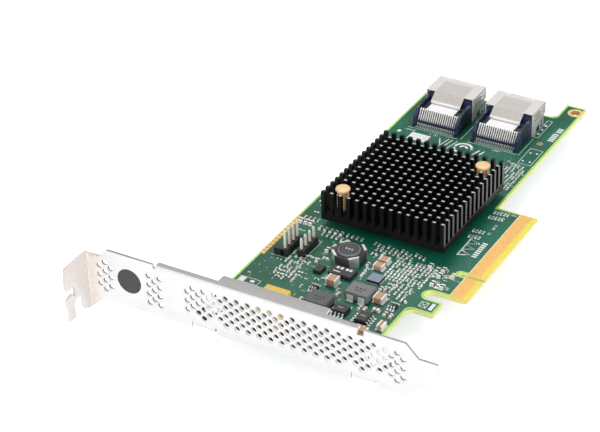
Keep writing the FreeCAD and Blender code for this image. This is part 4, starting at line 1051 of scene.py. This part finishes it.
def make_drum():
    """Drum inductor: square ferrite base, silver corner straps and a turned disc."""
    x, y, side, trim, high = 64.5, 49.6, 4.8, 2.3, 3.5
    body = Shape(BOARD_TOP).prism(chamfered(x, y, side, side, trim), "z", 0.3, high)
    piece("drum_core", body, "ferrite", bevel=0.25, segments=2)
    straps = Shape(BOARD_TOP)
    corner = [(side - trim + 0.1, side + 0.12), (side + 0.12, side - trim + 0.1)]
    cap = corner + [(side - 0.35, side - trim - 0.75), (side - trim - 0.75, side - 0.35)]
    leg = corner + [(side - 0.05, side - trim), (side - trim, side - 0.05)]
    for way_x in (-1, 1):
        for way_y in (-1, 1):
            for outline, low, top in ((cap, high - 0.02, high + 0.22), (leg, 0, high)):
                straps.prism([(x + way_x * u, y + way_y * v) for u, v in outline], "z", low, top)
    piece("drum_straps", straps, "clip", "drum_inductor_body", bevel=0.08)
    disc = Shape(BOARD_TOP + high)
    disc.turned(x, y, [(4.25, 0), (4.3, 0.12), (4.25, 0.38), (4.1, 0.5), (3.35, 0.5), (3.25, 0.36),
                       (3.05, 0.36), (2.95, 0.48), (0.2, 0.48)], 48)
    piece("drum_disc", disc, "ferrite", "drum_inductor_disc", smooth=True)
    marks = Shape(BOARD_TOP + high)
    for shift in (-1.3, -0.3, 0.7):
        marks.box((x + shift, x + shift + 0.6), (y - 0.3, y + 0.5), (0.48, 0.49))
    piece("drum_marks", marks, "mark")
    # Painted highlight: a pale grey ring on the top of the disc
    ring = flat_ring(x, y, (3.5, 3.2), 48, BOARD_TOP + high + 0.47, 0.06, 0.005)
    piece("drum_disc_ring", ring, "ring_highlight")


def make_film_capacitor():
    film = Shape(BOARD_TOP).block(59.5, 10.9, 8.3, 9.8, (0, 8.9))
    piece("film_capacitor_case", film, "yellow", "film_capacitor", bevel=0.45, segments=3)


def chip_body(shape, x, y, wide, deep, low, high):
    """A moulded chip body with drafted sides."""
    draft = min(0.14, wide * 0.04)
    rings = []
    for inset, z in ((draft, low), (0, (low + high) / 2), (draft, high)):
        outline = rectangle(around(x, wide / 2 - inset), around(y, deep / 2 - inset))
        rings.append([(*point, z) for point in outline])
    return shape.loft(rings)


# Chips with gull leads: X, Y, size in X, Y and Z, leads on each side and whether those lie along X
LEADED_CHIPS = (
    (75.5, 24.2, 5.0, 3.9, 1.5, 4, True), (83.5, 23.6, 3.9, 5.0, 1.5, 4, False),
    (88.2, 33.5, 2.8, 1.7, 1.0, 3, True), (62.4, 31.1, 2.8, 1.7, 1.0, 3, True),
)


def make_chips():
    bodies, marks, leads, dots = (Shape(BOARD_TOP) for _ in range(4))
    for x, y, wide, deep, high, count, along_x in LEADED_CHIPS:
        chip_body(bodies, x, y, wide, deep, 0.15, high)
        dots.turned(x - wide / 2 + 0.6, y - deep / 2 + 0.55, [(0.25, high), (0.25, high + 0.008)], 14)
        if wide * deep > 12:
            for shift in (-0.9, -0.3, 0.3):
                marks.box((x + shift, x + shift + 0.4), (y - 0.2, y + 0.35), (high, high + 0.01))
        long, edge = (wide, deep / 2) if along_x else (deep, wide / 2)
        pitch = min(1.27, long / count)
        profile = [(-0.1, 0.72), (0.2, 0.72), (0.36, 0.6), (0.48, 0.18), (0.6, 0.0), (1.0, 0.0),
                   (1.0, 0.2), (0.68, 0.2), (0.58, 0.32), (0.5, 0.78), (0.3, 0.92), (-0.1, 0.92)]
        for side in (-1, 1):
            for number in range(count):
                shift = (number - (count - 1) / 2) * pitch
                start, middle = (y, x + shift) if along_x else (x, y + shift)
                bent = [(start + side * (edge + u), v) for u, v in profile]
                leads.prism(bent, "x" if along_x else "y", *around(middle, 0.21))
                pad = start + side * (edge + 0.85)
                leads.block(*((middle, pad, 0.6, 1.1) if along_x else (pad, middle, 1.1, 0.6)), (0, 0.03))
    piece("leaded_chip_bodies", bodies, "resin", "leaded_chips", bevel=0.05)
    piece("gull_leads", leads, "tin", "chip_leads")

    x, y, high = 66.6, 41.6, 1.4
    logic = chip_body(Shape(BOARD_TOP), x, y, 8.0, 5.0, 0, high)
    piece("logic_chip_body", logic, "resin", "logic_chip", bevel=0.06)
    white = Shape(BOARD_TOP + high)
    for shift in (-2.6, -1.2, 0.6, 1.8):
        white.box((x + shift, x + shift + 0.9), (y + 0.5, y + 1.6), (0, 0.01))
    white.box((x - 2.8, x - 0.4), (y - 1.2, y - 0.8), (0, 0.01))
    piece("logic_chip_marks", white, "print")

    x, y, high = 76.95, 43.7, 0.9
    flat = Shape(BOARD_TOP).block(x, y, 4.4, 4.2, (0, high))
    piece("flat_chip_body", flat, "blue_resin", "flat_chip", bevel=0.06)
    dots.turned(75.4, 42.3, [(0.25, high), (0.25, high + 0.01)], 14)
    lands = Shape(BOARD_TOP)
    for number in range(6):
        shift = (number - 2.5) * 0.62
        for side in (-1, 1):
            lands.block(x + shift, y + side * 2.25, 0.32, 0.5, (0, 0.12))
            lands.block(x + side * 2.35, y + shift, 0.5, 0.32, (0, 0.12))
    piece("flat_chip_lands", lands, "tin")
    rectifier = chip_body(Shape(BOARD_TOP), 59.2, 40.1, 2.8, 3.8, 0, 1.1)
    piece("rectifier_body", rectifier, "resin", "rectifier", bevel=0.06)
    piece("chip_dots", dots, "mark")
    piece("chip_marks", marks, "mark")


def make_ceramic_capacitors():
    bodies, ends = Shape(BOARD_TOP), Shape(BOARD_TOP)
    for x, y, wide, deep, high in ((66.3, 35.8, 3.4, 3.4, 2.4), (83.2, 34.6, 3.2, 3.6, 1.9),
                                   (74.9, 49.7, 3.2, 2.6, 1.6), (74.9, 53.3, 3.2, 2.6, 1.6),
                                   (86.9, 16.7, 3.2, 2.5, 2.4), (90.2, 22.4, 1.9, 3.4, 1.6),
                                   (85.1, 18.9, 2.6, 1.6, 1.2)):
        bodies.block(x, y, wide - 0.8, deep, (0, high))
        for side in (-1, 1):
            middle = x + side * (wide - 0.45) / 2
            ends.block(middle, y, 0.45, deep + 0.06, (0, high + 0.03))
            ends.block(middle + side * 0.3, y, 0.6, deep + 0.2, (0, 0.1))
    piece("ceramic_bodies", bodies, "ceramic", "ceramic_capacitors", bevel=0.1, segments=2)
    piece("ceramic_ends", ends, "tin", "ceramic_capacitor_ends", bevel=0.1, segments=2)


# Stage, lights and camera

def make_stage():
    """A pale floor that keeps the shadow and shows white to the camera, in gloss and through glass."""
    material, tree, shader = new_material("floor_white")
    fill(tree, shader, {"Base Color": (0.93, 0.93, 0.93, 1), "Roughness": 0.9, "Specular IOR Level": 0.1})
    seen = add_node(tree, "LightPath", "Is Camera Ray")
    for kind in ("Is Glossy Ray", "Is Transmission Ray"):
        seen = calculate(tree, "MAXIMUM", seen, add_node(tree, "LightPath", kind))
    glow = add_node(tree, "Emission", "Emission", {
        "Color": (1, 1, 1, 1), "Strength": calculate(tree, "MULTIPLY", seen, 0.64)})
    both = add_node(tree, "AddShader", "Shader", {0: shader.outputs["BSDF"], 1: glow})
    tree.links.new(both, tree.nodes["Material Output"].inputs["Surface"])
    mesh = bpy.data.meshes.new("floor")
    reach = 3.0
    mesh.from_pydata([(u, v, 0) for u, v in rectangle((-reach, reach), (-reach, reach))], [], [(0, 1, 2, 3)])
    mesh.materials.append(material)
    floor = bpy.data.objects.new("floor", mesh)
    bpy.context.scene.collection.objects.link(floor)


def make_lights():
    world = bpy.data.worlds.new("studio")
    bpy.context.scene.world = world
    world.use_nodes = True
    back = world.node_tree.nodes["Background"]
    back.inputs["Color"].default_value = (1.0, 1.0, 1.0, 1)
    back.inputs["Strength"].default_value = 0.30
    for name, place, target, size, power in (
        ("front", (0.05, -0.95, 0.36), (0, -0.02, 0.01), (0.5, 0.3), 4.8),
        ("overhead", (-0.25, 0.40, 0.80), (0, 0.02, 0), (0.5, 0.4), 4.3),
        ("side", (0.75, -0.1, 0.30), (0, 0, 0.01), (0.3, 0.3), 2.0),
    ):
        lamp = bpy.data.lights.new(name, "AREA")
        lamp.shape = "RECTANGLE"
        lamp.size, lamp.size_y = size
        lamp.energy = power
        thing = bpy.data.objects.new(name, lamp)
        thing.location = place
        thing.rotation_euler = (Vector(target) - Vector(place)).to_track_quat("-Z", "Y").to_euler()
        bpy.context.scene.collection.objects.link(thing)


def make_camera():
    """Camera worked out from the lines of the bracket and the board in the photograph."""
    azimuth, elevation, roll = (math.radians(a) for a in (30.87, 32.74, -1.78))
    level = math.cos(elevation)
    back = Vector((math.sin(azimuth) * level, -math.cos(azimuth) * level, math.sin(elevation)))
    right_flat = Vector((math.cos(azimuth), math.sin(azimuth), 0))
    up_flat = back.cross(right_flat)
    right = right_flat * math.cos(roll) + up_flat * math.sin(roll)
    up = back.cross(right)
    camera = bpy.data.cameras.new("camera")
    camera.sensor_width = 36.0
    # Focal length in pixels of the photograph, which is 600 wide
    camera.lens = 2086.4 / 600 * camera.sensor_width
    camera.clip_start = 0.01
    camera.clip_end = 20.0
    thing = bpy.data.objects.new("camera", camera)
    place = spot(326.84, -418.24, 364.36)
    thing.matrix_world = Matrix([(right[k], up[k], back[k], place[k]) for k in range(3)] + [(0, 0, 0, 1)])
    bpy.context.scene.collection.objects.link(thing)
    bpy.context.scene.camera = thing


for node, material in (("circuit_board", "board"), ("edge_strip", "strip"), ("heat_sink", "fins"),
                       ("controller_package", "carrier"), ("controller_lid", "lid"), ("thermal_pad", "pad")):
    dress(node, material)
make_bracket()
make_fasteners()
make_fingers()
make_margins()
make_tracks()
make_small_chips()
make_print()
make_rings()
make_push_pins()
for port, port_middle in PORTS:
    make_port_shell(port, port_middle)
    make_port_housing(port, port_middle)
    make_port_contacts(port, port_middle)
make_headers()
make_inductors()
make_drum()
make_film_capacitor()
make_chips()
make_ceramic_capacitors()
make_stage()
make_lights()
make_camera()

view = bpy.context.scene.view_settings
view.view_transform = "Standard"
